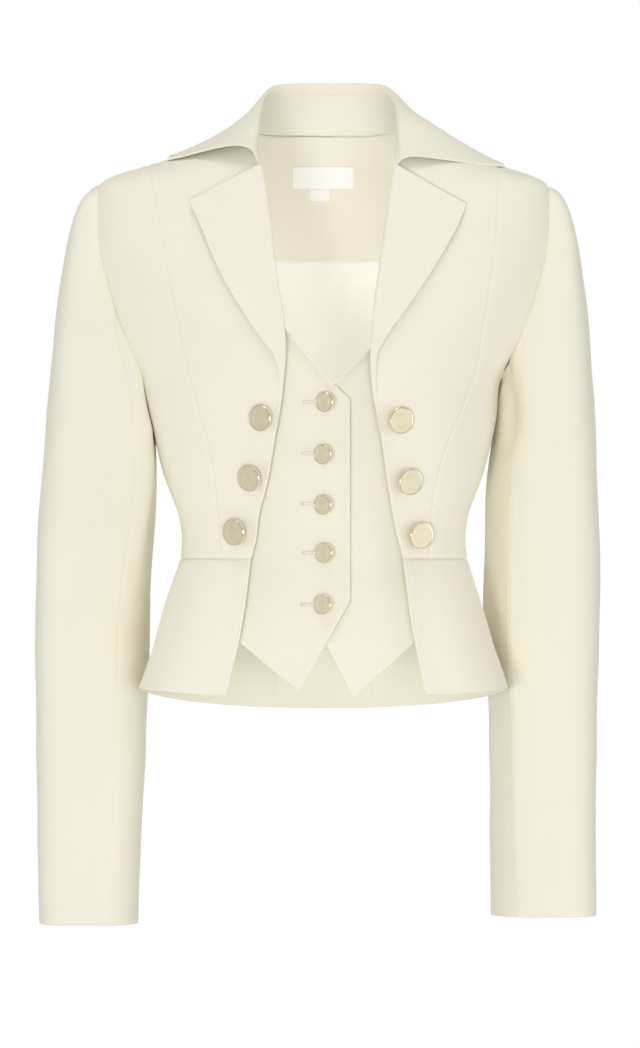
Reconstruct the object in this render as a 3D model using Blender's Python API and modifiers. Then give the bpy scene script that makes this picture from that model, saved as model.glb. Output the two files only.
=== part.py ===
"""Cropped peplum blazer with a waistcoat front, hollow as worn.

Metres, +Z up, front towards -Y. The origin is on the centre plane at the height of the
high shoulder points. Right and left are the wearer's, so right is at -X.
"""
import math

import bmesh
import bpy
import numpy as np
from mathutils import Vector
from mathutils.bvhtree import BVHTree
from numpy.polynomial.polynomial import polyval

MM = 0.001

# Cloth
SHELL_WALL = 2.0 * MM
SLEEVE_WALL = 2.0 * MM
COLLAR_WALL = 2.2 * MM
LAPEL_WALL = 1.8 * MM
WAISTCOAT_WALL = 1.6 * MM
FACING_WALL = 1.2 * MM
LINING_WALL = 1.0 * MM
LABEL_WALL = 1.0 * MM
SEAM_GAP = 0.3 * MM
LINING_CLEAR = 1.8 * MM
WAISTCOAT_CLEAR = 0.8 * MM
LABEL_CLEAR = 1.2 * MM

# Heights of the main seams below the high shoulder points
SHOULDER_TIP_Z = -47 * MM
PRINCESS_TOP_Z = -32 * MM
UNDERARM_Z = -215 * MM
WAIST_Z = -370 * MM
GORGE_Z = -36 * MM
NECK_BACK_Z = -2 * MM
FACING_SIDE_Z = -106 * MM
FACING_MIDDLE_Z = -110.5 * MM
HEM_SIDE_Z = -481 * MM
HEM_FRONT_DROP = 6 * MM
HEM_BACK_DROP = 20.5 * MM
HEM_BACK_CURVE = 1.2
HEM_FRONT_CURVE = 2.0
LOWEST_REST_Z = -120 * MM
SHOULDER_SQUARE = 2.4
SQUARE_PER_METRE = 0.5

# Sides of the wearer, and the looks: colour, roughness, metallic
COLLECTION = "blazer"
SIDES = (("right", -1), ("left", 1))
CREPE = ((0.84, 0.81, 0.70), 0.75)
SATIN = ((0.93, 0.90, 0.80), 0.35)
RIBBON = ((0.90, 0.89, 0.84), 0.55)
METAL = ((0.68, 0.62, 0.48), 0.25, 1.0)

# Grid steps
FACING_ROWS = 8
LINING_ROWS = 10
LINING_COLUMNS = 18
UPPER_ROWS = 10
LOWER_ROWS = 5
PEPLUM_ROWS = 5
CAP_ROWS = 6
ARM_ROWS = 9
CENTRE_COLUMNS = 6
SIDE_COLUMNS = 6
NECK_COLUMNS = 4
UPPER_CROWDING = 1.5
RIDGE_SAMPLES = 200
REST_HALVINGS = 40
HEM_PASSES = 4
SHARP_ANGLE = math.radians(40)


def smooth(keys, values, at):
    """Monotone cubic through the rows of a table."""
    step = np.diff(keys)
    slope = np.diff(values) / step
    tangent = np.zeros(len(values))
    tangent[0] = slope[0]
    tangent[-1] = slope[-1]
    for i in range(1, len(values) - 1):
        if slope[i - 1] * slope[i] > 0:
            before = 2 * step[i] + step[i - 1]
            after = step[i] + 2 * step[i - 1]
            tangent[i] = (before + after) / (before / slope[i - 1] + after / slope[i])
    at = np.clip(at, keys[0], keys[-1])
    i = np.clip(np.searchsorted(keys, at) - 1, 0, len(step) - 1)
    t = (at - keys[i]) / step[i]
    rise = values[i + 1] - values[i]
    bend = tangent[i] * step[i] * (1 - t) ** 2 * t - tangent[i + 1] * step[i] * t * t * (1 - t)
    return values[i] + rise * t * t * (3 - 2 * t) + bend


class Table:
    """Rows of named columns in millimetres, read smoothly along the first column."""

    def __init__(self, columns, rows):
        self.columns = columns.split()
        self.rows = np.array(sorted(rows), dtype=float) * MM

    def __call__(self, column, key):
        values = self.rows[:, self.columns.index(column)]
        return smooth(self.rows[:, 0], values, np.asarray(key, dtype=float))


# Horizontal sections: half width, where the side lies, and the front and back on the centre plane
SECTION_COLUMNS = "z half side front back"
TORSO_SECTIONS = (
    (4, 50, 12, -26, 68),
    (0, 62, 12, -30, 70),
    (-18, 106, 10, -45, 78),
    (-32, 150.5, 8, -54, 84),
    (-47, 193, 6, -62, 91),
    (-65, 198.5, 5, -70, 96),
    (-90, 200.5, 4, -80, 102),
    (-115, 198.5, 2, -90, 106),
    (-140, 192.5, 1, -98, 108),
    (-170, 180, 0, -107, 107),
    (-195, 164, -1, -112, 105),
    (-215, 152, -2, -116, 103),
    (-249, 148.5, -3, -118, 97),
    (-270, 144, -4, -115, 93),
    (-300, 136.5, -5, -108, 86),
    (-340, 123, -7, -99, 78),
    (-355, 121.5, -8, -97, 76),
    (-370, 123, -8, -96, 76),
)
PEPLUM_SECTIONS = (
    (-370, 123, -8, -96, 76),
    (-390, 129.5, -12, -101, 82),
    (-417, 138, -17, -108, 90),
    (-455, 149.5, -24, -117, 100),
    (-480, 157.5, -28, -122, 107),
    (-505, 164, -31, -126, 113),
)
TORSO = Table(SECTION_COLUMNS, TORSO_SECTIONS)
PEPLUM = Table(SECTION_COLUMNS, PEPLUM_SECTIONS)
INSIDE = Table(SECTION_COLUMNS, TORSO_SECTIONS[:-1] + PEPLUM_SECTIONS)

# Seam lines, as distances from the centre plane
PRINCESS = Table(
    "z right left back",
    (
        (-32, 150.5, 150.5, 150.5),
        (-75, 142, 149, 138),
        (-116, 134.5, 145, 124),
        (-158, 127, 139, 108),
        (-203, 118, 131, 90),
        (-246, 106, 117, 72),
        (-271, 99, 106, 62),
        (-300, 94, 97, 52),
        (-335, 90, 92, 42),
        (-370, 88, 90, 36),
    ),
)
ARMHOLE = Table(
    "z front back",
    (
        (-47, 193, 193),
        (-75, 193.5, 195),
        (-101, 192, 195),
        (-128, 186.5, 190),
        (-155, 178.5, 181),
        (-172, 171, 173),
        (-190, 162.5, 163.5),
        (-205, 155.5, 156),
        (-215, 152, 152),
    ),
)
FRONT_EDGE = Table(
    "z right left",
    (
        (0, 62, 62),
        (-15, 58, 62),
        (-34, 55, 61.5),
        (-59, 50, 58),
        (-98, 45, 52.5),
        (-140, 39.5, 46.5),
        (-172, 34.5, 42.5),
        (-205, 32, 40),
        (-225, 33, 40.5),
        (-260, 39, 47),
        (-337, 53.5, 58.5),
        (-370, 60, 66.5),
        (-409, 65.5, 71),
        (-440, 70.8, 76),
        (-464, 76.5, 81),
        (-490, 83, 86.5),
    ),
)
PEPLUM_BACK_SEAM = Table("z back", ((-370, 36), (-440, 40), (-505, 43)))

# Lapels: each row runs from the roll line at one height to a point of the outer edge
LAPEL_ROWS = 10
LAPEL = Table(
    "row roll_z right_x right_z left_x left_z",
    (
        (0, -37, 114.5, -66, 121, -69),
        (1, -60, 107, -81, 116.5, -82),
        (2, -100, 91, -120, 97, -118),
        (3, -140, 74.5, -151, 74, -153.5),
        (4, -175, 55, -181, 55, -180),
        (5, -198, 41, -200, 45.5, -199),
        (6, -214, 34.6, -215, 42.6, -215),
    ),
)
# The turn at the roll line: towards the centre and out from the front, then out along the lapel
LAPEL_TURN = ((0.3, -0.6), (2.0, 0.5), (2.6, 2.6), (1.2, 4.4))
LAPEL_LIFT_ROLL = 5.2 * MM
LAPEL_LIFT_EDGE = 3.4 * MM
LAPEL_COLUMNS = 6

# Collar sections from the right gorge round the back of the neck to the left one
NECK_SIDE_TURN = 0.58
GORGE_CURVE = 1.6
STAND_CLEAR = 1.0 * MM
COLLAR_LIFT = 4.0 * MM
COLLAR_STEPS = 12
COLLAR_COLUMNS = 9
STAND_ROWS = 2
STAND_END_STEPS = 2
COLLAR = Table(
    "turn seam_x seam_y seam_z crown_x crown_y crown_z drape_x drape_y drape_z edge_x edge_y",
    (
        (-1000, -55.5, -55, -32, -57, -60, -14, -88, -47, -34, -133, -19),
        (-800, -54, -22, -2, -50, -22, 20, -80, -12, -10, -148, 12),
        (-580, -52, 12, 13, -45, 12, 35, -70, 18, -6, -112, 50),
        (-300, -38, 48, 27, -34, 45, 54, -58, 66, 26, -62, 74),
        (0, 4, 68, 34, 4, 66, 54, 4, 90, 38, 4, 79),
        (300, 46, 48, 27, 42, 45, 54, 70, 66, 26, 70, 74),
        (580, 60, 12, 13, 53, 12, 35, 84, 18, 0, 116, 50),
        (800, 62, -22, -2, 58, -22, 20, 96, -12, -3, 147, 14),
        (1000, 63.5, -55, -32, 65, -60, -14, 104, -45, -30, 155, -16),
    ),
)

# Sleeve sections below the armhole
SLEEVE = Table(
    "z right_in right_out left_in left_out half_depth centre_y",
    (
        (-262, 146.5, 240, 146, 236.5, 55, 14),
        (-300, 144, 244.5, 141, 237.5, 53, 22),
        (-350, 146.5, 247, 139.5, 238.5, 51, 31),
        (-405, 150, 249, 138.2, 239.5, 49, 40),
        (-457, 151, 250.2, 140, 238.5, 47.5, 47),
        (-488, 152, 249, 143, 237.5, 46.5, 49),
        (-560, 155.5, 248.6, 144, 236.2, 44, 48),
        (-687, 161, 246, 145, 236, 40, 44),
    ),
)
SLEEVE_TOP_Z = -262 * MM
CUFF_RIGHT_Z = -686.5 * MM
CUFF_LEFT_Z = -679.5 * MM
FRONT_SEAM_TURN = 0.34
BACK_SEAM_TURN = 0.64
# Sleeve cap, as series in the cosine of the turn from the shoulder (1) to the underarm (-1)
CAP_OUT = (0.66, 0.34)
CAP_FORWARD = 0.30
CAP_RISE = (-0.60, 0.60, 0.25)
CAP_REACH = (32 * MM, 9 * MM, -11 * MM)
CAP_HANG = (60 * MM, 57 * MM, 13 * MM)

# Waistcoat fronts: each row runs from the neck or front edge out to the princess seam.
# Columns: inner x, inner z, outer z, steps from the row before
WAISTCOAT_RIGHT = (
    (96, -100, -100, 0),
    (33.4, -173, -165, 3),
    (-8, -221.5, -215, 2),
    (-21.5, -235, -232, 1),
    (-22.8, -239, -238, 1),
    (-22.8, -404.7, -372, 6),
    (21, -481, -424, 3),
)
WAISTCOAT_LEFT = (
    (131, -100, -100, 0),
    (40, -190, -185, 4),
    (-8, -238, -232, 2),
    (-8, -421, -372, 7),
    (25.3, -486, -428, 3),
)
WAISTCOAT_ACROSS = 6
WAISTCOAT_HEM_X = 92 * MM
OVERLAP_DEPTH = 5.5 * MM
UNDERLAP_DEPTH = 9.4 * MM

# Inside back
FACING_SHOULDER_X = 104 * MM
FACING_SPREAD = 1.15
FACING_CURVE = 1.4
LINING_X = Table("z half", ((-106, 128), (-215, 122), (-300, 106), (-370, 96)))
LINING_FOOT_Z = -366 * MM
LABEL_WIDTH = 54 * MM
LABEL_TOP_Z = -27 * MM
LABEL_FOOT_Z = -46.3 * MM
TAB_WIDTH = 17.5 * MM
TAB_X = -3 * MM
TAB_FOOT_Z = -57.7 * MM
LABEL_ROWS = 2
LABEL_COLUMNS = 6
TAB_COLUMNS = 2

# Buttons
JACKET_BUTTON = 21.5 * MM
WAISTCOAT_BUTTON = 17 * MM
BUTTON_STEPS = 12
# Profile of a button as shares of its radius and its height
BUTTON_HEIGHT = 3.6 * MM
BUTTON_PROFILE = (
    (0.0, 0.94),
    (0.82, 0.86),
    (0.92, 1.0),
    (1.0, 0.66),
    (0.94, 0.42),
    (0.30, 0.36),
    (0.26, 0.0),
    (0.0, 0.0),
)
JACKET_BUTTONS = (
    ("right", (50.7, 60.4, 73.0), (-251, -301, -347)),
    ("left", (63.0, 70.6, 79.8), (-252.7, -304, -349.8)),
)
WAISTCOAT_BUTTONS = ((2.4, -237.5), (0.9, -281), (0.9, -323.5), (1.7, -365), (0.5, -409))


# The body form
def square(z):
    """How square a section is: 2 is an ellipse."""
    return SHOULDER_SQUARE + SQUARE_PER_METRE * z


def section(form, z, back):
    """Half width, side position and depth of one section, to the front or to the back."""
    side = form("side", z)
    depth = np.where(back, form("back", z) - side, side - form("front", z))
    return form("half", z), side, depth


def angle_at(form, x, z, back=False):
    """Turn from the front centre to the point of a section at a distance from the centre plane."""
    turn = np.arcsin(np.clip(np.abs(x) / form("half", z), 0, 1) ** (square(z) / 2))
    return np.where(np.asarray(x) < 0, -1, 1) * np.where(back, math.pi - turn, turn)


def on_form(form, angle, z, out=0.0):
    """Points of the form at an angle and height, moved out along its normal."""
    angle, z = np.broadcast_arrays(np.asarray(angle, dtype=float), np.asarray(z, dtype=float))
    back = np.cos(angle) < 0
    half, side, depth = section(form, z, back)
    power = square(z)
    across = np.sign(np.sin(angle)) * np.abs(np.sin(angle)) ** (2 / power)
    along = -np.sign(np.cos(angle)) * np.abs(np.cos(angle)) ** (2 / power)
    point = np.stack([half * across, side + depth * along, z], axis=-1)

    def excess(height):
        wide, middle, deep = section(form, height, back)
        share = np.abs(point[..., 0] / wide) ** power
        return share + np.abs((point[..., 1] - middle) / deep) ** power

    probe = 0.5 * MM
    normal = np.stack(
        [
            np.sign(across) * np.abs(across) ** (power - 1) * power / half,
            np.sign(along) * np.abs(along) ** (power - 1) * power / depth,
            (excess(z + probe) - excess(z - probe)) / (2 * probe),
        ],
        axis=-1,
    )
    normal /= np.linalg.norm(normal, axis=-1, keepdims=True)
    return point + normal * np.asarray(out)[..., None]


def ridge(x):
    """Height of the shoulder seam at a distance from the centre plane."""
    heights = np.linspace(SHOULDER_TIP_Z, 0, RIDGE_SAMPLES)
    return np.interp(-np.abs(x), -TORSO("half", heights), heights)


def rest_height(x, y):
    """Height of the shoulder surface under a point seen from above."""
    low = np.full(np.shape(x), LOWEST_REST_Z)
    high = ridge(x)
    for _ in range(REST_HALVINGS):
        middle = (low + high) / 2
        back = y > TORSO("side", middle)
        half, side, depth = section(TORSO, middle, back)
        power = square(middle)
        inside = np.abs(x / half) ** power + np.abs((y - side) / depth) ** power < 1
        low = np.where(inside, middle, low)
        high = np.where(inside, high, middle)
    return low


# Rows shared by the panels above the waist
def body_rows(top):
    """Heights of the rows down from a top line, closer together at the shoulder."""
    top = np.atleast_1d(top)
    upper = (np.arange(UPPER_ROWS + 1) / UPPER_ROWS)[:, None] ** UPPER_CROWDING
    lower = np.arange(1, LOWER_ROWS + 1)[:, None] / LOWER_ROWS
    above = top + (UNDERARM_Z - top) * upper
    below = np.broadcast_to(UNDERARM_Z + (WAIST_Z - UNDERARM_Z) * lower, (LOWER_ROWS, len(top)))
    return np.concatenate([above, below])


def lerp(start, end, share):
    return start + (end - start) * share


def curve(start, first, second, end, share):
    """Cubic curve between two points, with two handles."""
    rest = 1 - share
    near = rest**3 * start + 3 * rest**2 * share * first
    return near + 3 * rest * share**2 * second + share**3 * end


def princess_seam(column):
    """Turn and height of a princess seam, on the front or on the back."""
    z = body_rows(PRINCESS_TOP_Z)
    angle = angle_at(TORSO, PRINCESS(column, z), z, column == "back")
    angle[0] = math.pi / 2
    return angle, z


def outer_seam(back):
    """Turn and height of the armhole edge, and of the side seam below it."""
    z = body_rows(SHOULDER_TIP_Z)
    angle = angle_at(TORSO, ARMHOLE("back" if back else "front", z), z, back)
    angle[0] = math.pi / 2
    angle[UPPER_ROWS:] = math.pi / 2
    return angle, z


# Solids
def material(name, colour, roughness, metallic=0.0):
    made = bpy.data.materials.new(name)
    made.use_nodes = True
    shader = made.node_tree.nodes["Principled BSDF"]
    shader.inputs["Base Color"].default_value = (*colour, 1.0)
    shader.inputs["Roughness"].default_value = roughness
    shader.inputs["Metallic"].default_value = metallic
    return made


def add(name, mesh, look):
    """Put a mesh in the blazer's collection as a named object with its own material."""
    made = bpy.data.objects.new(name, mesh)
    mesh.materials.append(material(name, *look))
    bpy.data.collections[COLLECTION].objects.link(made)
    return made


def inset(grid):
    """A grid of points with its four edges drawn in by half a seam gap."""
    grid = grid.copy()
    for axis in (0, 1):
        lines = np.moveaxis(grid, axis, 0)
        for edge, inside in ((0, 1), (-1, -2)):
            step = lines[inside] - lines[edge]
            lines[edge] += step * (SEAM_GAP / 2 / np.linalg.norm(step, axis=-1, keepdims=True))
    return grid


def wall(name, outer, inner, look):
    """Closed wall between two grids of points: a grid mesh, extruded and laid on them."""
    rows, columns = outer.shape[:2]
    outer = inset(outer)
    inner = inset(inner)
    cloth = bmesh.new()
    bmesh.ops.create_grid(cloth, x_segments=columns - 1, y_segments=rows - 1, size=0.5)
    made = bmesh.ops.extrude_face_region(cloth, geom=cloth.faces[:])["geom"]
    lifted = {item for item in made if isinstance(item, bmesh.types.BMVert)}
    for vertex in cloth.verts:
        row = round((vertex.co.y + 0.5) * (rows - 1))
        column = round((vertex.co.x + 0.5) * (columns - 1))
        vertex.co = (outer if vertex in lifted else inner)[row, column]
    if cloth.calc_volume(signed=True) < 0:
        bmesh.ops.reverse_faces(cloth, faces=cloth.faces[:])
    mesh = bpy.data.meshes.new(name)
    cloth.to_mesh(mesh)
    cloth.free()
    mesh.shade_smooth()
    mesh.set_sharp_from_angle(angle=SHARP_ANGLE)
    return add(name, mesh, look)


def normals(grid, closed=False):
    """Unit normals of a grid of points, whose columns may close into rings."""
    down = np.gradient(grid, axis=0)
    if closed:
        across = np.roll(grid, -1, axis=1) - np.roll(grid, 1, axis=1)
    else:
        across = np.gradient(grid, axis=1)
    normal = np.cross(down, across)
    return normal / np.linalg.norm(normal, axis=-1, keepdims=True)


def form_wall(name, form, angle, z, out, thickness, look):
    """A panel of the body form, with its outside moved out from it."""
    wall(name, on_form(form, angle, z, out), on_form(form, angle, z, out - thickness), look)


# Body panels
def front_centre(side, sign):
    share = np.linspace(0, 1, CENTRE_COLUMNS + 1)
    edge = FRONT_EDGE(side, body_rows(0.0))
    seam = PRINCESS(side, body_rows(PRINCESS_TOP_Z))
    x = lerp(edge, seam, share)
    z = body_rows(ridge(x[0]))
    angle = angle_at(TORSO, x, z)
    angle[0] = math.pi / 2
    form_wall(f"front_centre_{side}", TORSO, sign * angle, z, 0.0, SHELL_WALL, CREPE)


def side_panel(name, column, sign):
    """Between a princess seam and the armhole and side seam, on the front or on the back."""
    share = np.linspace(0, 1, SIDE_COLUMNS + 1)
    seam_angle, seam_z = princess_seam(column)
    outer_angle, outer_z = outer_seam(column == "back")
    angle = lerp(seam_angle, outer_angle, share)
    z = lerp(seam_z, outer_z, share)
    form_wall(name, TORSO, sign * angle, z, 0.0, SHELL_WALL, CREPE)


def back_line(shoulder_x, z_back):
    """Shoulder seam from a distance out to the neck, then the back neck to the centre plane."""
    shoulder = np.linspace(shoulder_x, float(TORSO("half", 0.0)), CENTRE_COLUMNS + 1)
    turn = np.linspace(0, math.pi / 2, NECK_COLUMNS + 1)[1:]
    neck = shoulder[-1] * np.cos(turn) ** (2 / SHOULDER_SQUARE)
    x = np.concatenate([shoulder, neck])
    z = np.concatenate([ridge(shoulder), z_back * np.sin(turn)])
    return x, z


def mirrored(half, flip):
    """Columns from one side to the centre plane, and on to the other side."""
    return np.concatenate([half, flip * half[:, -2::-1]], axis=1)


def back_centre():
    top_x, top_z = back_line(float(TORSO("half", PRINCESS_TOP_Z)), NECK_BACK_Z)
    x = PRINCESS("back", body_rows(PRINCESS_TOP_Z)) * top_x / top_x[0]
    z = body_rows(top_z)
    angle = angle_at(TORSO, x, z, True)
    angle[0, : CENTRE_COLUMNS + 1] = math.pi / 2
    angle[:, -1] = math.pi
    angle = np.concatenate([angle, 2 * math.pi - angle[:, -2::-1]], axis=1)
    form_wall("back_centre", TORSO, angle, mirrored(z, 1), 0.0, SHELL_WALL, CREPE)


# Peplum
def hem_z(angle):
    """Height of the hem, lower at the front edges and at the back."""
    along = np.cos(angle)
    front = HEM_FRONT_DROP * np.abs(along) ** HEM_FRONT_CURVE
    back = HEM_BACK_DROP * np.abs(along) ** HEM_BACK_CURVE
    return HEM_SIDE_Z - np.where(along > 0, front, back)


def peplum_seam(kind, side, z):
    """Turn of a peplum's front edge, side seam or back seam at each height."""
    sign = dict(SIDES)[side]
    if kind == "edge":
        return sign * angle_at(PEPLUM, FRONT_EDGE(side, z), z)
    if kind == "back":
        return sign * angle_at(PEPLUM, PEPLUM_BACK_SEAM("back", z), z, True)
    return np.full(np.shape(z), sign * math.pi / 2)


def peplum_panel(name, first, last, columns):
    """Between two seams, each a kind and a side."""
    share = np.linspace(0, 1, columns + 1)
    down = np.linspace(0, 1, PEPLUM_ROWS + 1)[:, None]
    z = np.full((PEPLUM_ROWS + 1, columns + 1), WAIST_Z)
    for _ in range(HEM_PASSES):
        start = peplum_seam(*first, z)
        end = peplum_seam(*last, z)
        end = np.where((start > 0) & (end < 0), end + 2 * math.pi, end)
        angle = lerp(start, end, share)
        z = lerp(WAIST_Z, hem_z(angle), down)
    form_wall(name, PEPLUM, angle, z, 0.0, SHELL_WALL, CREPE)


def peplum():
    for side, _ in SIDES:
        peplum_panel(f"peplum_front_{side}", ("edge", side), ("side", side), SIDE_COLUMNS)
        peplum_panel(f"peplum_side_{side}", ("side", side), ("back", side), SIDE_COLUMNS)
    peplum_panel("peplum_back", ("back", "left"), ("back", "right"), CENTRE_COLUMNS)


# Sleeves
def armhole_ring(sign):
    """Points of the armhole from the shoulder tip down the front and up the back, and their turns."""
    halves = []
    turns = []
    for back in (False, True):
        angle, z = outer_seam(back)
        points = on_form(TORSO, sign * angle[: UPPER_ROWS + 1, 0], z[: UPPER_ROWS + 1, 0])
        length = np.concatenate([[0], np.cumsum(np.linalg.norm(np.diff(points, axis=0), axis=1))])
        halves.append(points)
        turns.append(0.5 * length / length[-1])
    ring = np.concatenate([halves[0], halves[1][-2:0:-1]])
    turn = np.concatenate([turns[0], 1 - turns[1][-2:0:-1]])
    return ring, turn


def sleeve_ring(side, sign, z, turn):
    """One section of the sleeve below the armhole."""
    inner = SLEEVE(f"{side}_in", z)
    outer = SLEEVE(f"{side}_out", z)
    around = 2 * math.pi * turn
    x = (inner + outer) / 2 + (outer - inner) / 2 * np.cos(around)
    y = SLEEVE("centre_y", z) - SLEEVE("half_depth", z) * np.sin(around)
    return np.stack([sign * x, y, np.broadcast_to(z, np.shape(y))], axis=-1)


def sleeve_grid(side, sign, cuff_z):
    """Rings of the whole sleeve: the cap leaves the armhole and turns down into the arm."""
    armhole, turn = armhole_ring(sign)
    arm_top = sleeve_ring(side, sign, SLEEVE_TOP_Z, turn)
    along = np.cos(2 * math.pi * turn)
    across = np.sin(2 * math.pi * turn)
    leave = np.stack(
        [sign * polyval(along, CAP_OUT), -CAP_FORWARD * across, polyval(along, CAP_RISE)], axis=-1
    )
    reach = polyval(along, CAP_REACH)[:, None]
    hang = polyval(along, CAP_HANG)[:, None]
    first = armhole + leave * reach
    second = arm_top + np.array([0, 0, 1]) * hang
    cap = curve(armhole, first, second, arm_top, np.linspace(0, 1, CAP_ROWS + 1)[:, None, None])
    heights = np.linspace(SLEEVE_TOP_Z, cuff_z, ARM_ROWS + 1)[1:, None]
    arm = sleeve_ring(side, sign, heights, turn[None, :])
    return np.concatenate([cap, arm]), turn


def sleeve(side, sign, cuff_z):
    grid, turn = sleeve_grid(side, sign, cuff_z)
    inside = grid + sign * SLEEVE_WALL * normals(grid, closed=True)
    front = int(np.argmin(np.abs(turn - FRONT_SEAM_TURN)))
    back = int(np.argmin(np.abs(turn - BACK_SEAM_TURN)))
    columns = len(turn)
    under = np.arange(front, back + 1)
    top = np.arange(back, columns + front + 1) % columns
    wall(f"sleeve_under_{side}", grid[:, under], inside[:, under], CREPE)
    wall(f"sleeve_top_{side}", grid[:, top], inside[:, top], CREPE)


# Collar
def collar_curves(turn):
    """Seam of the stand, the two handles of the roll, and the outer edge on the shoulders."""
    lines = []
    for name in ("seam", "crown", "drape"):
        lines.append(np.stack([COLLAR(f"{name}_{axis}", turn) for axis in "xyz"], axis=-1))
    x = COLLAR("edge_x", turn)
    y = COLLAR("edge_y", turn)
    z = rest_height(x, y)
    angle = angle_at(TORSO, x, z, y > TORSO("side", z))
    return lines + [on_form(TORSO, angle, z, COLLAR_LIFT)]


def neck_seam(turn):
    """The seam that the stand is sewn to, from one gorge round the back neck to the other."""
    share = np.abs(turn)
    front = np.clip((share - NECK_SIDE_TURN) / (1 - NECK_SIDE_TURN), 0, 1)
    back_z = NECK_BACK_Z * (1 - share / NECK_SIDE_TURN)
    z = np.where(share > NECK_SIDE_TURN, GORGE_Z * front**GORGE_CURVE, back_z)
    edge = np.where(turn < 0, FRONT_EDGE("right", z), FRONT_EDGE("left", z))
    front_angle = angle_at(TORSO, edge, z)
    back_angle = math.pi - math.pi / 2 * share / NECK_SIDE_TURN
    angle = np.where(share > NECK_SIDE_TURN, front_angle, back_angle)
    return on_form(TORSO, np.where(turn < 0, -angle, angle), z)


def collar():
    turn = np.linspace(-1, 1, 2 * COLLAR_STEPS + 1)
    seam, crown, drape, edge = collar_curves(turn)
    along = np.linspace(0, 1, COLLAR_COLUMNS + 1)[None, :, None]
    fall = curve(seam[:, None], crown[:, None], drape[:, None], edge[:, None], along)

    # The stand ends short of each gorge, and is mitred to the fall along their seam
    within = slice(STAND_END_STEPS, -STAND_END_STEPS)
    top = seam[within]
    foot = neck_seam(turn[within])
    rise = (top - foot) / np.linalg.norm(top - foot, axis=-1, keepdims=True)
    foot = foot + rise * STAND_CLEAR
    top = top - rise * SEAM_GAP
    stand = lerp(foot[:, None], top[:, None], np.linspace(0, 1, STAND_ROWS + 1)[None, :, None])
    fall_normals = normals(fall)
    stand_normals = normals(stand)
    mitre = fall_normals[within, 0] + stand_normals[:, -1]
    mitre /= np.linalg.norm(mitre, axis=-1, keepdims=True)
    fall_normals[within, 0] = mitre
    stand_normals[:, -1] = mitre
    wall("collar_fall", fall, fall + COLLAR_WALL * fall_normals, CREPE)
    wall("collar_stand", stand, stand + COLLAR_WALL * stand_normals, CREPE)


# Lapels
def lapel(side, sign):
    row = np.linspace(0, LAPEL.rows[-1, 0] / MM, LAPEL_ROWS + 1)[:, None] * MM
    roll_z = LAPEL("roll_z", row)
    roll_x = FRONT_EDGE(side, roll_z)
    share = np.linspace(0, 1, LAPEL_COLUMNS + 1)[None, 1:]
    turn_in = np.array([step[0] for step in LAPEL_TURN]) * MM
    turn_out = np.array([step[1] for step in LAPEL_TURN]) * MM
    x = np.concatenate([roll_x - turn_in, lerp(roll_x, LAPEL(f"{side}_x", row), share)], axis=1)
    z = np.concatenate([roll_z + 0 * turn_in, lerp(roll_z, LAPEL(f"{side}_z", row), share)], axis=1)
    out = np.concatenate([turn_out, lerp(LAPEL_LIFT_ROLL, LAPEL_LIFT_EDGE, share[0])])
    grid = on_form(TORSO, sign * angle_at(TORSO, x, z), z, np.broadcast_to(out, x.shape))
    wall(f"lapel_{side}", grid, grid + sign * LAPEL_WALL * normals(grid), CREPE)


# Waistcoat fronts
def waistcoat(side, sign, rows, depth):
    inner_x, inner_z, outer_z = [[rows[0][i]] for i in range(3)]
    for start, end in zip(rows, rows[1:]):
        for step in range(1, end[3] + 1):
            share = step / end[3]
            inner_x.append(lerp(start[0], end[0], share))
            inner_z.append(lerp(start[1], end[1], share))
            outer_z.append(lerp(start[2], end[2], share))
    inner_x, inner_z, outer_z = (np.array(line)[:, None] * MM for line in (inner_x, inner_z, outer_z))
    below = np.clip((outer_z - WAIST_Z) / (outer_z[-1] - WAIST_Z), 0, 1)
    outer_x = lerp(PRINCESS(side, outer_z), WAISTCOAT_HEM_X, below)
    share = np.linspace(0, 1, WAISTCOAT_ACROSS + 1)
    x = lerp(inner_x, outer_x, share)
    z = lerp(inner_z, outer_z, share)
    out = -lerp(depth, SHELL_WALL + WAISTCOAT_CLEAR, share**2)
    angle = angle_at(INSIDE, sign * x, z)
    form_wall(f"waistcoat_{side}", INSIDE, angle, z, np.broadcast_to(out, x.shape), WAISTCOAT_WALL, CREPE)


# Inside back
def back_facing():
    top_x, top_z = back_line(FACING_SHOULDER_X, NECK_BACK_Z)
    spread = FACING_SPREAD * FACING_SHOULDER_X
    down = np.linspace(0, 1, FACING_ROWS + 1)[:, None]
    foot_z = lerp(FACING_MIDDLE_Z, FACING_SIDE_Z, (top_x / top_x[0]) ** 2)
    x = lerp(top_x, top_x / top_x[0] * spread, down)
    z = lerp(top_z, foot_z, down**FACING_CURVE)
    angle = angle_at(TORSO, x, z, True)
    angle[0, : CENTRE_COLUMNS + 1] = math.pi / 2
    angle[:, -1] = math.pi
    angle = np.concatenate([angle, 2 * math.pi - angle[:, -2::-1]], axis=1)
    out = -SHELL_WALL - LINING_CLEAR
    form_wall("back_facing", TORSO, angle, mirrored(z, 1), out, FACING_WALL, CREPE)


def inside_sheet(name, half, middle, z, columns, out, thickness, look):
    """A sheet on the inside of the back, with a half width for each of its rows."""
    x, z = np.broadcast_arrays(middle + half * np.linspace(-1, 1, columns + 1), z)
    form_wall(name, TORSO, angle_at(TORSO, x, z, True), z, out, thickness, look)


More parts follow.
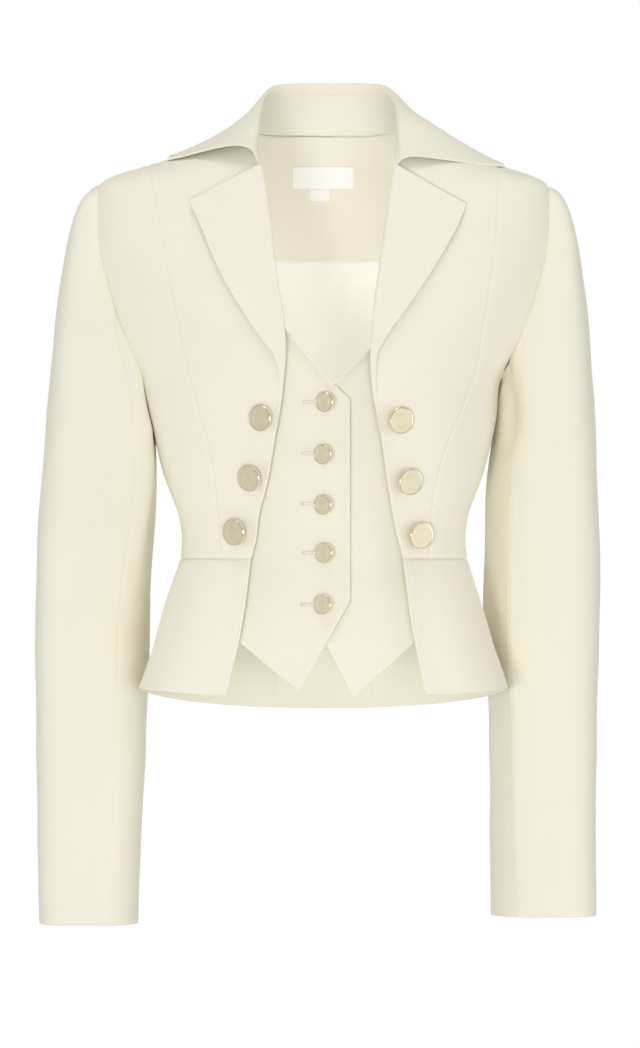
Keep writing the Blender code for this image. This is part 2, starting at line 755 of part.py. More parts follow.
def inside_back():
    back_facing()
    share = np.linspace(0, 1, LINING_ROWS + 1)[:, None]
    middle = 1 - np.linspace(-1, 1, LINING_COLUMNS + 1) ** 2
    top = lerp(FACING_SIDE_Z, FACING_MIDDLE_Z, middle)
    z = lerp(top, LINING_FOOT_Z, share)
    out = -SHELL_WALL - LINING_CLEAR
    x = LINING_X("half", z) * np.linspace(-1, 1, LINING_COLUMNS + 1)
    form_wall("back_lining", TORSO, angle_at(TORSO, x, z, True), z, out, LINING_WALL, SATIN)
    out -= FACING_WALL + LABEL_CLEAR
    rows = np.linspace(0, 1, LABEL_ROWS + 1)[:, None]
    label_z = lerp(LABEL_TOP_Z, LABEL_FOOT_Z, rows)
    tab_z = lerp(LABEL_FOOT_Z, TAB_FOOT_Z, rows)
    inside_sheet("neck_label", LABEL_WIDTH / 2, 0.0, label_z, LABEL_COLUMNS, out, LABEL_WALL, RIBBON)
    inside_sheet("size_tab", TAB_WIDTH / 2, TAB_X, tab_z, TAB_COLUMNS, out, LABEL_WALL, RIBBON)


# Buttons
def button(name, form, x, z, panel, diameter):
    """A turned metal button on a shank, square to the cloth under it."""
    angle = angle_at(form, x, z)
    square_to = Vector(on_form(form, angle, z, 1.0) - on_form(form, angle, z))
    start = Vector(on_form(form, angle, z)) + square_to * BUTTON_HEIGHT
    cloth = BVHTree.FromObject(bpy.data.objects[panel], bpy.context.evaluated_depsgraph_get())
    seat = cloth.ray_cast(start, -square_to)[0] + square_to * SEAM_GAP
    mesh = bpy.data.meshes.new(name)
    points = [(share * diameter / 2, 0, height * BUTTON_HEIGHT) for share, height in BUTTON_PROFILE]
    mesh.from_pydata(points, [(i, i + 1) for i in range(len(points) - 1)], [])
    made = add(name, mesh, METAL)
    turn = made.modifiers.new("turn", "SCREW")
    turn.steps = BUTTON_STEPS
    turn.render_steps = BUTTON_STEPS
    turn.use_merge_vertices = True
    turn.merge_threshold = 0.00001
    made.location = seat
    made.rotation_euler = square_to.to_track_quat("Z", "Y").to_euler()


def buttons():
    for (side, across, heights), (_, sign) in zip(JACKET_BUTTONS, SIDES):
        for number, (x, z) in enumerate(zip(across, heights), 1):
            name = f"button_{side}_{number}"
            button(name, TORSO, sign * x * MM, z * MM, f"front_centre_{side}", JACKET_BUTTON)
    for number, (x, z) in enumerate(WAISTCOAT_BUTTONS, 1):
        name = f"waistcoat_button_{number}"
        button(name, INSIDE, x * MM, z * MM, "waistcoat_right", WAISTCOAT_BUTTON)


def build():
    for old in list(bpy.data.objects):
        bpy.data.objects.remove(old, do_unlink=True)
    bpy.context.scene.collection.children.link(bpy.data.collections.new(COLLECTION))
    for side, sign in SIDES:
        front_centre(side, sign)
        side_panel(f"front_side_{side}", side, sign)
        side_panel(f"back_side_{side}", "back", sign)
        lapel(side, sign)
    back_centre()
    peplum()
    sleeve("right", -1, CUFF_RIGHT_Z)
    sleeve("left", 1, CUFF_LEFT_Z)
    collar()
    waistcoat("right", -1, WAISTCOAT_RIGHT, OVERLAP_DEPTH)
    waistcoat("left", 1, WAISTCOAT_LEFT, UNDERLAP_DEPTH)
    inside_back()
    buttons()


build()
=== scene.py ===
"""Cropped ivory peplum blazer with a waistcoat front, hollow as worn, in soft studio light."""
import math

import bpy
import numpy as np
from mathutils import Matrix, Vector
from mathutils.bvhtree import BVHTree
from numpy.polynomial.polynomial import polyval


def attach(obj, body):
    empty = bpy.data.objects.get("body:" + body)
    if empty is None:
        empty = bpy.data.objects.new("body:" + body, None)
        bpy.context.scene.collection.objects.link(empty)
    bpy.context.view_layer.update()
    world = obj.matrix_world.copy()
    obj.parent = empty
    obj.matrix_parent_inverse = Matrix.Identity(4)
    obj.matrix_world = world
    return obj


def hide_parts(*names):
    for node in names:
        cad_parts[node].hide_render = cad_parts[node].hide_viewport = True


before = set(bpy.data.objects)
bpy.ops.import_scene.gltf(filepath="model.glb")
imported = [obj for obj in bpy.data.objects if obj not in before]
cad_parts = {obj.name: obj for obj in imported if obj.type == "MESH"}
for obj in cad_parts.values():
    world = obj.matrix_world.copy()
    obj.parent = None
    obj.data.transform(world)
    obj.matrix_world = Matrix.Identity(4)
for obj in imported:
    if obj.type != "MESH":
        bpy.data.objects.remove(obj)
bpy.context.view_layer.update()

MM = 0.001

# Cloth
SHELL_WALL = 2.0 * MM
COLLAR_WALL = 1.8 * MM
LAPEL_WALL = 1.5 * MM
WAISTCOAT_WALL = 1.6 * MM
FACING_WALL = 1.2 * MM
LINING_WALL = 0.8 * MM
LABEL_WALL = 0.7 * MM
LINING_CLEAR = 1.8 * MM
WAISTCOAT_CLEAR = 0.8 * MM
LABEL_CLEAR = 0.9 * MM

# Heights of the main seams below the high shoulder points
SHOULDER_TIP_Z = -47 * MM
PRINCESS_TOP_Z = -32 * MM
UNDERARM_Z = -215 * MM
WAIST_Z = -370 * MM
GORGE_Z = -36 * MM
NECK_BACK_Z = -2 * MM
FACING_SIDE_Z = -106 * MM
FACING_MIDDLE_Z = -110.5 * MM
HEM_SIDE_Z = -481 * MM
HEM_FRONT_DROP = 6 * MM
HEM_BACK_DROP = 20.5 * MM
HEM_BACK_CURVE = 1.2
HEM_FRONT_CURVE = 2.0
SIDES = (("right", -1), ("left", 1))

# How square the body's sections are, and the lowest that the collar can rest on them
SHOULDER_SQUARE = 2.4
SQUARE_PER_METRE = 0.5
LOWEST_REST_Z = -120 * MM

# Fineness of the grids
DENSE = 360
TABLE_SAMPLES = 1500
CROWDING = 2.4
HALVINGS = 40
HEM_ROUNDS = 8
PROBE = 0.5 * MM
TINY = 1e-12
STEP = 3.5 * MM
WIDE_STEP = 4 * MM
FINE_STEP = 2.8 * MM
WAISTCOAT_STEP = 2.2 * MM
LABEL_STEP = 2 * MM
EDGE_TICKS = np.array([0, 0.2, 0.45, 0.8, 1.2, 1.8, 2.4, 2.9, 3.3, 3.7, 4.4, 5.6]) * MM
# Pieces whose rows keep one share of the height all along
LEVEL_PIECES = ("back_centre", "back_facing")
# Least share of its flat box that a piece of cloth is taken to fill, where its width is worked out
LEAST_FILL = 0.32


class Table:
    """Rows of named columns in millimetres, read along the first column on a softened curve."""

    def __init__(self, columns, rows, soften=0.02):
        rows = np.array(sorted(rows), dtype=float) * MM
        self.keys = np.linspace(rows[0, 0], rows[-1, 0], TABLE_SAMPLES)
        self.lines = {}
        for name, values in zip(columns.split(), rows.T):
            line = monotone(rows[:, 0], values, self.keys)
            self.lines[name] = blur(line, soften * TABLE_SAMPLES)

    def __call__(self, column, key):
        return np.interp(key, self.keys, self.lines[column])


def blur(lines, spread):
    """Lines smoothed along their first axis, with both ends kept in place."""
    reach = int(3 * spread)
    weights = np.exp(-0.5 * (np.arange(-reach, reach + 1) / spread) ** 2)
    weights /= weights.sum()
    before = 2 * lines[:1] - lines[reach:0:-1]
    after = 2 * lines[-1:] - lines[-2 : -reach - 2 : -1]
    padded = np.concatenate([before, lines, after])
    return sum(weight * padded[j : j + len(lines)] for j, weight in enumerate(weights))


def monotone(keys, values, at):
    """Monotone cubic through the rows of a table."""
    step = np.diff(keys)
    slope = np.diff(values) / step
    tangent = np.zeros(len(values))
    tangent[[0, -1]] = slope[[0, -1]]
    for i in range(1, len(values) - 1):
        if slope[i - 1] * slope[i] > 0:
            before = 2 * step[i] + step[i - 1]
            after = step[i] + 2 * step[i - 1]
            tangent[i] = (before + after) / (before / slope[i - 1] + after / slope[i])
    i = np.clip(np.searchsorted(keys, at) - 1, 0, len(step) - 1)
    t = (at - keys[i]) / step[i]
    rise = values[i + 1] - values[i]
    bend = tangent[i] * step[i] * (1 - t) ** 2 * t - tangent[i + 1] * step[i] * t * t * (1 - t)
    return values[i] + rise * t * t * (3 - 2 * t) + bend


# Horizontal sections: half width, where the side lies, and the front and back on the centre plane
SECTION_COLUMNS = "z half side front back"
TORSO_SECTIONS = (
    (4, 50, 12, -26, 68), (0, 62, 12, -30, 70), (-18, 106, 10, -45, 78),
    (-32, 150.5, 8, -54, 84), (-47, 193, 6, -62, 91), (-65, 198.5, 5, -70, 96),
    (-90, 200.5, 4, -80, 102), (-115, 198.5, 2, -90, 106), (-140, 192.5, 1, -98, 108),
    (-170, 180, 0, -107, 107), (-195, 164, -1, -112, 105), (-215, 152, -2, -116, 103),
    (-249, 148.5, -3, -118, 97), (-270, 144, -4, -115, 93), (-300, 136.5, -5, -108, 86),
    (-340, 123, -7, -99, 78), (-355, 121.5, -8, -97, 76), (-370, 123, -8, -96, 76),
)
PEPLUM_SECTIONS = (
    (-370, 123, -8, -96, 76), (-390, 129.5, -12, -101, 82), (-417, 138, -17, -108, 90),
    (-455, 149.5, -24, -117, 100), (-480, 157.5, -28, -122, 107), (-505, 164, -31, -126, 113),
)
TORSO = Table(SECTION_COLUMNS, TORSO_SECTIONS, 0.012)
PEPLUM = Table(SECTION_COLUMNS, PEPLUM_SECTIONS)
INSIDE = Table(SECTION_COLUMNS, TORSO_SECTIONS[:-1] + PEPLUM_SECTIONS)

# Seam lines, as distances from the centre plane
PRINCESS = Table("z right left back", (
    (-32, 150.5, 150.5, 150.5), (-75, 142, 149, 138), (-116, 134.5, 145, 124),
    (-158, 127, 139, 108), (-203, 118, 131, 90), (-246, 106, 117, 72),
    (-271, 99, 106, 62), (-300, 94, 97, 52), (-335, 90, 92, 42),
    (-370, 88, 90, 36),
))
ARMHOLE = Table("z front back", (
    (-47, 193, 193), (-75, 193.5, 195), (-101, 192, 195), (-128, 186.5, 190),
    (-155, 178.5, 181), (-172, 171, 173), (-190, 162.5, 163.5), (-205, 155.5, 156),
    (-215, 152, 152),
))
FRONT_EDGE = Table("z right left", (
    (0, 62, 62), (-15, 58, 62), (-34, 55, 61.5), (-59, 50, 58),
    (-98, 45, 52.5), (-140, 39.5, 46.5), (-172, 34.4, 42.5), (-205, 33.2, 40),
    (-225, 34.4, 41), (-260, 39.4, 47), (-316, 49.6, 55), (-327, 53.2, 56.8),
    (-340, 55.2, 59), (-353, 55.8, 62), (-365, 59.4, 65.2), (-409, 65.5, 71),
    (-440, 70.8, 76), (-464, 76.5, 81), (-490, 83, 86.5),
), 0.012)
PEPLUM_BACK_SEAM = Table("z back", ((-370, 36), (-440, 40), (-505, 43)))

# The front edges stand off the waistcoat below the lapels
EDGE_CURL = 3.2 * MM
EDGE_CURL_WIDTH = 10 * MM
EDGE_CURL_TOP_Z = -205 * MM
EDGE_CURL_RUN = 55 * MM

# Lapels: each row runs from the roll line at one height to a point of the outer edge
LAPEL = Table("row roll_z right_x right_z left_x left_z", (
    (0, -37, 114.5, -66, 121, -69), (1, -60, 107, -81, 116.5, -82),
    (2, -100, 91, -120, 97, -118), (3, -140, 74.5, -151, 74, -153.5),
    (4, -175, 55, -181, 55, -180), (5, -198, 41.5, -200, 45, -199),
    (6, -214, 37.6, -215, 44.4, -215), (7, -232, 37.4, -232.5, 44, -232.5),
    (8, -262, 40.6, -262, 48.2, -262),
), 0.012)
LAPEL_LAST_ROW = 8
LAPEL_LIFT_ROLL = 4.6 * MM
LAPEL_LIFT_EDGE = 2.2 * MM
LAPEL_ROLL_IN = 2.2 * MM
LAPEL_BREAK_Z = -232 * MM
LAPEL_BREAK_RUN = 60 * MM
LAPEL_LEAST = 0.12
LAPEL_FLATTEN = 1.6

# Collar sections from the right gorge round the back of the neck to the left one
NECK_SIDE_TURN = 0.58
NECK_TURN_IN = 2.3 * MM
STAND_LAP = 0.2 * MM
STAND_PROUD = 1.9 * MM
GORGE_CURVE = 1.6
COLLAR_LIFT = 3.0 * MM
COLLAR_FACES = np.array([0, -0.2, 1.0])
COLLAR_COLUMNS = (
    "turn seam_x seam_y seam_z crown_x crown_y crown_z drape_x drape_y drape_z edge_x edge_y"
)
COLLAR = Table(COLLAR_COLUMNS, (
    (-1000, -55.5, -55, -32, -60, -62, -5, -92, -50, -22, -133, -19),
    (-800, -54.5, -22, 0, -51, -22, 22, -82, -12, -6, -131, 14),
    (-580, -53, 12, 19, -46, 12, 40, -71, 18, 1, -108, 50),
    (-300, -39, 48, 30.5, -36, 45, 55, -60, 66, 31, -62, 74),
    (0, 4, 68, 33.2, 4, 65, 55, 4, 91, 41, 4, 79),
    (300, 47, 48, 30.5, 44, 45, 55, 72, 66, 33, 70, 74),
    (580, 61, 12, 19, 54, 12, 40, 86, 18, 10, 116, 50),
    (800, 62.5, -22, 0, 59, -22, 22, 98, -12, 2, 147, 14),
    (1000, 63.5, -55, -34, 66, -61, -18, 106, -46, -33, 155, -16),
))

# Sleeve sections below the armhole
SLEEVE = Table("z right_in right_out left_in left_out half_depth centre_y", (
    (-262, 145.5, 239.5, 146, 235, 55, 12), (-300, 143.6, 243, 141, 236, 53, 21),
    (-350, 146.5, 247, 139.5, 238.5, 51, 31), (-405, 150, 249, 138.2, 239.5, 49, 40),
    (-457, 151, 250.2, 140, 238.5, 47.5, 47), (-488, 152, 249, 143, 237.5, 46.5, 49),
    (-560, 155.5, 248.6, 144, 236.2, 44, 48), (-687, 161, 246, 145, 236, 40, 44),
))
SLEEVE_TOP_Z = -262 * MM
CUFF_Z = {"right": -686.5 * MM, "left": -679.5 * MM}
ARM_MIDDLE_Y = 30 * MM
SLEEVE_FRONT_SQUARE = 3.2
SLEEVE_SIDE_SQUARE = 2.3
# How far the front of the inner side is turned out, which leaves a crease along the front seam
SLEEVE_SLANT = {"right": 5 * MM, "left": 13 * MM}
FRONT_SEAM_TURN = {"right": 0.309, "left": 0.352}
BACK_SEAM_TURN = 0.64
# Sleeve cap, as series in the cosine of the turn from the shoulder (1) to the underarm (-1)
CAP_OUT = (0.66, 0.575, -0.235)
CAP_FORWARD = 0.30
CAP_RISE = (-0.60, 0.58, 0.16)
CAP_REACH = (31 * MM, 8 * MM, -11 * MM)
CAP_HANG = (50 * MM, 40 * MM, 7 * MM)
CAP_SLOPE = 6 * MM
# The sleeve runs on under the armhole edge, and its join with the arm is smoothed
TUCK = 6 * MM
SLEEVE_SOFTEN = 7 * MM
# The right sleeve lies against the body above the gap beside the waist
HUG = {"right": 1.0, "left": 0.0}
HUG_TURNS = (0.26, 0.38, 0.52, 0.62)
HUG_FOOT_Z = -450 * MM
HUG_RUN = 180 * MM
HUG_CLEAR = 0.5 * MM

# The right side of the body stands fuller at the underarm, where the sleeve lies on it
FULL_SIDE = {"right": 7.5 * MM, "left": 0.0}
FULL_RUN = 30 * MM
FULL_FROM_X = 120 * MM
FULL_CURVE = 1.5

# Waistcoat fronts: each row runs from the neck or front edge out to the princess seam.
# Columns: inner x, inner z, outer z
WAISTCOAT_RIGHT = (
    (96, -100, -100), (33.4, -173, -165), (-8, -221.5, -215),
    (-22.6, -235.4, -232), (-22.8, -404.7, -372), (21, -481, -424),
)
WAISTCOAT_LEFT = (
    (131, -100, -100), (40, -190, -185), (-8, -238, -232),
    (-8, -421, -372), (25.3, -486, -428),
)
WAISTCOAT_HEM_X = 92 * MM
OVERLAP_DEPTH = 5.5 * MM
UNDERLAP_DEPTH = 8.4 * MM
WAISTCOAT_CURL = 2.1 * MM
WAISTCOAT_CURL_WIDTH = 7 * MM

# Inside back
FACING_SHOULDER_X = 104 * MM
FACING_SPREAD = 1.15
FACING_CURVE = 1.4
FACING_MEET = 0.03
LINING_X = Table("z half", ((-106, 128), (-215, 122), (-300, 106), (-370, 96)))
LINING_FOOT_Z = -366 * MM
# Columns: name, middle x, width, top z, foot z
LABELS = (("neck_label", 0, 54, -27, -46.3), ("size_tab", -3, 17.5, -46.3, -57.7))

# Buttons
JACKET_BUTTON = 22.6 * MM
WAISTCOAT_BUTTON = 17 * MM
BUTTON_HEIGHT = 4.4 * MM
BUTTON_STEPS = 72
BUTTON_FACE = 0.91
BUTTON_LIFT = 2.6 * MM
# Columns: x, z, and the way a button faces in degrees, round from the front to the left and up
JACKET_BUTTONS = {
    "right": ((50.7, -251, -38, -5), (60.4, -301, -37, -9), (73.0, -347, -38, -7)),
    "left": ((63.0, -252.7, 30, -5), (70.6, -304, 31, -8), (79.8, -349.8, 32, -6)),
}
WAISTCOAT_BUTTONS = (
    (2.4, -237.5, -29, -5), (0.9, -281, -30, -7), (0.9, -323.5, -31, -6),
    (1.7, -365, -29, -4), (0.5, -409, -30, -2),
)

# Buttonholes, with a bar of thicker thread at the far end
HOLE_LENGTH = 19.5 * MM
HOLE_HALF = 1.25 * MM
HOLE_THREAD = 0.42 * MM
HOLE_BAR = 1.35
HOLE_BAR_FROM = -0.6
HOLE_STITCH = 0.18
HOLE_SINK = 0.1 * MM
HOLE_STEPS = 64
HOLE_SIDES = 8


def lerp(start, end, share):
    return start + (end - start) * share


def span(count):
    return np.linspace(0, 1, count)


def ring(count):
    return np.linspace(0, 2 * math.pi, count, endpoint=False)


def smooth(share):
    share = np.clip(share, 0, 1)
    return share * share * (3 - 2 * share)


def bell(distance, width):
    return np.exp(-((distance / width) ** 2))


def bent(value, power):
    """Power of a value that keeps its sign."""
    return np.sign(value) * np.abs(value) ** power


def unit(vectors):
    return vectors / np.maximum(np.linalg.norm(vectors, axis=-1, keepdims=True), TINY)


def from_axis(grid):
    """Directions out from the upright axis of the body."""
    return grid * np.array([1, 1, 0])


def to_axis(grid):
    return -from_axis(grid)


# The body form
def square(z):
    """How square a section is: 2 is an ellipse."""
    return SHOULDER_SQUARE + SQUARE_PER_METRE * z


def section(form, z, back):
    """Half width, side position and depth of one section, to the front or to the back."""
    side = form("side", z)
    depth = np.where(back, form("back", z) - side, side - form("front", z))
    return form("half", z), side, depth


def fullness(form, x, y, z, back, power):
    """How far out a point lies in a section: 1 on the form."""
    half, side, depth = section(form, z, back)
    return np.abs(x / half) ** power + np.abs((y - side) / depth) ** power


def angle_at(form, x, z, back=False):
    """Turn from the front centre to the point of a section at a distance from the centre plane."""
    turn = np.arcsin(np.clip(np.abs(x) / form("half", z), 0, 1) ** (square(z) / 2))
    return np.where(x < 0, -1, 1) * np.where(back, math.pi - turn, turn)


def on_form(form, angle, z, out=0.0):
    """Points of the form at an angle and height, moved out along its normal."""
    angle, z = np.broadcast_arrays(angle, z)
    back = np.cos(angle) < 0
    half, side, depth = section(form, z, back)
    power = square(z)
    across = bent(np.sin(angle), 2 / power)
    along = -bent(np.cos(angle), 2 / power)
    x = half * across
    y = side + depth * along
    above, below = (fullness(form, x, y, z + step, back, power) for step in (PROBE, -PROBE))
    slopes = (
        bent(across, power - 1) * power / half,
        bent(along, power - 1) * power / depth,
        (above - below) / (2 * PROBE),
    )
    normal = unit(np.stack(slopes, axis=-1))
    return np.stack([x, y, z], axis=-1) + normal * np.asarray(out)[..., None]


def ridge(x):
    """Height of the shoulder seam at a distance from the centre plane."""
    heights = np.linspace(SHOULDER_TIP_Z, 0, TABLE_SAMPLES)
    return np.interp(-np.abs(x), -TORSO("half", heights), heights)


def rest_height(x, y):
    """Height of the shoulder surface under a point seen from above."""
    low = np.full(np.shape(x), LOWEST_REST_Z)
    high = ridge(x)
    for _ in range(HALVINGS):
        middle = (low + high) / 2
        back = y > TORSO("side", middle)
        inside = fullness(TORSO, x, y, middle, back, square(middle)) < 1
        low = np.where(inside, middle, low)
        high = np.where(inside, high, middle)
    return low


def curve(start, first, second, end, share):
    """Cubic curve between two points, with two handles."""
    rest = 1 - share
    near = rest**3 * start + 3 * rest**2 * share * first
    return near + 3 * rest * share**2 * second + share**3 * end


def body_rows(top):
    """Heights of dense rows from a top line to the waist, crowded at the shoulder."""
    share = span(DENSE)[:, None] ** CROWDING
    return lerp(np.atleast_1d(top), WAIST_Z, share)


# Materials
def wire(tree, node, inputs):
    """Set sockets of a shader node, each to a value or from another node."""
    for socket, value in inputs.items():
        if isinstance(value, bpy.types.NodeSocket):
            tree.links.new(value, node.inputs[socket])
        else:
            node.inputs[socket].default_value = value


def add(tree, kind, inputs):
    made = tree.nodes.new(kind)
    wire(tree, made, inputs)
    return made


def noise(tree, scale, detail, stretch=None):
    """Noise in the blazer's own space, as a value from 0 to 1."""
    place = add(tree, "ShaderNodeTexCoord", {}).outputs["Object"]
    if stretch:
        mapping = add(tree, "ShaderNodeMapping", {"Vector": place, "Scale": stretch})
        place = mapping.outputs["Vector"]
    inputs = {"Vector": place, "Scale": scale, "Detail": detail}
    return add(tree, "ShaderNodeTexNoise", inputs).outputs["Fac"]


def ramp(tree, value, low, high, start=0.35, end=0.65):
    """Colour or grey that runs between two ends as a value rises."""
    if np.isscalar(low):
        inputs = dict(enumerate((value, start, end, low, high)))
        return add(tree, "ShaderNodeMapRange", inputs).outputs[0]
    made = add(tree, "ShaderNodeValToRGB", {0: value})
    for stop, place, colour in zip(made.color_ramp.elements, (start, end), (low, high)):
        stop.position = place
        stop.color = (*colour, 1)
    return made.outputs["Color"]


def material(name):
    made = bpy.data.materials.new(name)
    made.use_nodes = True
    return made, made.node_tree, made.node_tree.nodes["Principled BSDF"]


def surface(name, light, dark, cloud, rough, bumps, inputs):
    """A material with a clouded colour, an uneven roughness, and bumps one on another."""
    made, tree, shader = material(name)
    grain, low, high = rough
    rows = {cloud, grain, *(row for row, _, _ in bumps)}
    fields = {row: noise(tree, *row) for row in rows}
    colour = ramp(tree, fields[cloud], dark, light, *COLOUR_STOPS)
    normal = {}
    for row, strength, depth in bumps:
        layer = {"Height": fields[row], "Strength": strength, "Distance": depth * MM}
        normal = {"Normal": add(tree, "ShaderNodeBump", layer | normal).outputs["Normal"]}
    roughness = ramp(tree, fields[grain], low, high)
    wire(tree, shader, {"Base Color": colour, "Roughness": roughness} | normal | inputs)
    return made


# Noises, with a scale, a detail and a stretch
PEBBLE = (1500, 3)
SLUB = (420, 2, (1, 1, 0.25))
WARP = (1100, 2, (1, 1, 0.08))
ACROSS = (1400, 1, (0.15, 1, 1))
ALONG = (1400, 1, (1, 1, 0.2))
TARNISH = (160, 3)
BRUSHED = ((2200, 3, (1, 1, 0.2)), 0.05, 0.03)
# A look has the noise that clouds its colour, the one that its roughness follows between two ends,
# bumps with a strength and a depth in millimetres, and other inputs of the shader
COLOUR_STOPS = (0.3, 0.7)
SHEEN = {"Sheen Weight": 0.18, "Sheen Roughness": 0.45, "Sheen Tint": (1.0, 0.97, 0.88, 1)}
CREPE_LOOK = (
    (14, 3),
    (PEBBLE, 0.66, 0.82),
    ((SLUB, 0.10, 0.25), (PEBBLE, 0.22, 0.22)),
    {"Specular IOR Level": 0.3} | SHEEN,
)
SATIN_LOOK = (
    (18, 2),
    (WARP, 0.36, 0.50),
    ((WARP, 0.12, 0.12),),
    {"Specular IOR Level": 0.3, "Sheen Weight": 0.1},
)
RIBBON_LOOK = (
    ALONG,
    (ACROSS, 0.42, 0.6),
    ((ACROSS, 0.3, 0.15), (ALONG, 0.2, 0.1)),
    {"Sheen Weight": 0.1},
)
SATIN_METAL = (TARNISH, (TARNISH, 0.40, 0.45), (BRUSHED,), {"Metallic": 0.6})
POLISHED_METAL = (TARNISH, (TARNISH, 0.11, 0.16), (BRUSHED,), {"Metallic": 1.0})
CREPE = surface("ivory_crepe", (0.885, 0.85, 0.718), (0.87, 0.835, 0.70), *CREPE_LOOK)
FACING = surface("facing_crepe", (0.885, 0.855, 0.745), (0.87, 0.84, 0.73), *CREPE_LOOK)
SATIN = surface("ivory_satin", (0.975, 0.95, 0.895), (0.96, 0.93, 0.87), *SATIN_LOOK)
RIBBON = surface("label_ribbon", (0.985, 0.98, 0.965), (0.95, 0.945, 0.925), *RIBBON_LOOK)
GOLD = surface("satin_gold", (0.83, 0.76, 0.56), (0.81, 0.74, 0.54), *SATIN_METAL)
GOLD_EDGE = surface("polished_gold", (0.90, 0.84, 0.68), (0.87, 0.80, 0.63), *POLISHED_METAL)
THREAD = surface("ivory_thread", (0.86, 0.83, 0.71), (0.80, 0.76, 0.63), *CREPE_LOOK)


# Cloth from dense grids
def lengths(grid, axis):
    """Distance along one axis of a grid of points, from its first line."""
    step = np.linalg.norm(np.diff(grid, axis=axis), axis=-1)
    start = np.zeros_like(np.take(step, [0], axis=axis))
    return np.concatenate([start, np.cumsum(step, axis=axis)], axis=axis)


def ticks(length, step):
    """Shares of a length, close together near both ends."""
    ends = EDGE_TICKS[EDGE_TICKS < length / 3]
    count = max(2, round((length - 2 * ends[-1]) / step))
    middle = np.linspace(ends[-1], length - ends[-1], count + 1)[1:-1]
    return np.concatenate([ends, middle, length - ends[::-1]]) / length


def resample(lines, run, at):
    """Points of the columns of a grid at distances along them."""
    made = np.empty((len(at), lines.shape[1], 3))
    for i in range(lines.shape[1]):
        for k in range(3):
            made[:, i, k] = np.interp(at[:, i], run[:, i], lines[:, i, k])
    return made


def relay(grid, step, level=False):
    """A dense grid laid out again, evenly along its rows and columns but finer at its edges."""
    for axis in (0, 1):
        run = lengths(grid, axis)
        if level and axis == 0:
            run = np.broadcast_to(run.mean(axis=1, keepdims=True), run.shape)
        run = np.moveaxis(run, axis, 0)
        shares = ticks(float(np.max(run[-1])), step)
        made = resample(np.moveaxis(grid, axis, 0), run, shares[:, None] * run[-1])
        grid = np.moveaxis(made, 0, axis)
    return grid


def soften(grid, width):
    """A dense grid smoothed along its columns, with its first and last rows kept."""
    run = lengths(grid, 0)
    even = resample(grid, run, span(DENSE)[:, None] * run[-1])
    return blur(even, width / run[-1].mean() * DENSE)


def normals(grid, towards):
    """Unit normals of a grid of points, on the side that faces a direction."""
    normal = unit(np.cross(np.gradient(grid, axis=0), np.gradient(grid, axis=1)))
    return normal if np.sum(normal * towards) > 0 else -normal


# Edges of a piece: s a pressed seam, l a fainter one, w the waist seam, a the armhole,
# t a sleeve tucked under it, f a folded edge, e the front edge, h hidden.
# Seams have a depth, a width and a distance from the edge, and folds a lip's height and width
SEAMS = {
    "s": (0.5 * MM, 1.4 * MM, 0.0),
    "w": (1.1 * MM, 1.3 * MM, 0.0),
    "a": (0.5 * MM, 1.2 * MM, 0.0),
    "t": (0.6 * MM, 1.2 * MM, TUCK),
    "l": (0.28 * MM, 0.9 * MM, 0.0),
}
SEAM_INSIDE = 0.7
FOLDS = {"f": (0.22 * MM, 2.4 * MM), "e": (0.40 * MM, 1.7 * MM)}
FOLD_ROUND = 0.9
EDGE_LINE = 3.3 * MM
EDGE_LINE_WIDTH = 0.5 * MM
EDGE_LINE_DEPTH = 0.4 * MM


def offsets(grid, wall, edges):
    """How far the outside and the inside of a wall stand from its grid of points."""
    outer = np.zeros(grid.shape[:2])
    inner = np.zeros(grid.shape[:2]) - wall
    down = lengths(grid, 0)
    across = lengths(grid, 1)
    distances = (down, down[-1:] - down, across, across[:, -1:] - across)
    for kind, distance in zip(edges, distances):
        if kind in SEAMS:
            depth, width, place = SEAMS[kind]
            groove = depth * bell(distance - place, width)
            outer -= groove
            inner += SEAM_INSIDE * groove
        elif kind in FOLDS:
            lip, width = FOLDS[kind]
            near = np.clip(1 - distance / (wall / 2), 0, 1)
            cut = FOLD_ROUND * wall / 2 * (1 - np.sqrt(1 - near**2))
            outer += lip * bell(distance - width, width) - cut
            inner += cut
            if kind == "e":
                outer -= EDGE_LINE_DEPTH * bell(distance - EDGE_LINE, EDGE_LINE_WIDTH)
    return outer, inner


def smooth_mesh(name, points, faces):
    mesh = bpy.data.meshes.new(name)
    mesh.from_pydata(points, [], faces)
    mesh.shade_smooth()
    return mesh


def shell(name, outer, inner):
    """Closed mesh between two grids of points."""
    rows, columns = outer.shape[:2]
    count = rows * columns
    index = np.arange(count).reshape(rows, columns)
    corners = (index[:-1, :-1], index[1:, :-1], index[1:, 1:], index[:-1, 1:])
    front = np.stack(corners, axis=-1).reshape(-1, 4)
    back = front[:, ::-1] + count
    rim = np.concatenate([index[0], index[1:, -1], index[-1, -2::-1], index[-2:0:-1, 0]])
    ahead = np.roll(rim, -1)
    sides = np.stack([rim, ahead, ahead + count, rim + count], axis=-1)
    faces = np.concatenate([front, back, sides])
    points = np.concatenate([outer.reshape(-1, 3), inner.reshape(-1, 3)])
    a, b, c, d = (points[faces[:, i]] for i in range(4))
    volume = np.sum(a * np.cross(b, c)) + np.sum(a * np.cross(c, d))
    if volume < 0:
        faces = faces[:, ::-1]
    return smooth_mesh(name, points.tolist(), faces.tolist())


def put(name, data):
    made = bpy.data.objects.new(name, data)
    bpy.context.scene.collection.objects.link(made)
    return made


def piece(name, mesh, look, node=None):
    """A mesh as a piece of the blazer, in place of a node where one is named."""
    if look:
        mesh.materials.append(look)
    made = put(name, mesh)
    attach(made, "root")
    if node:
        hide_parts(node)
    return made


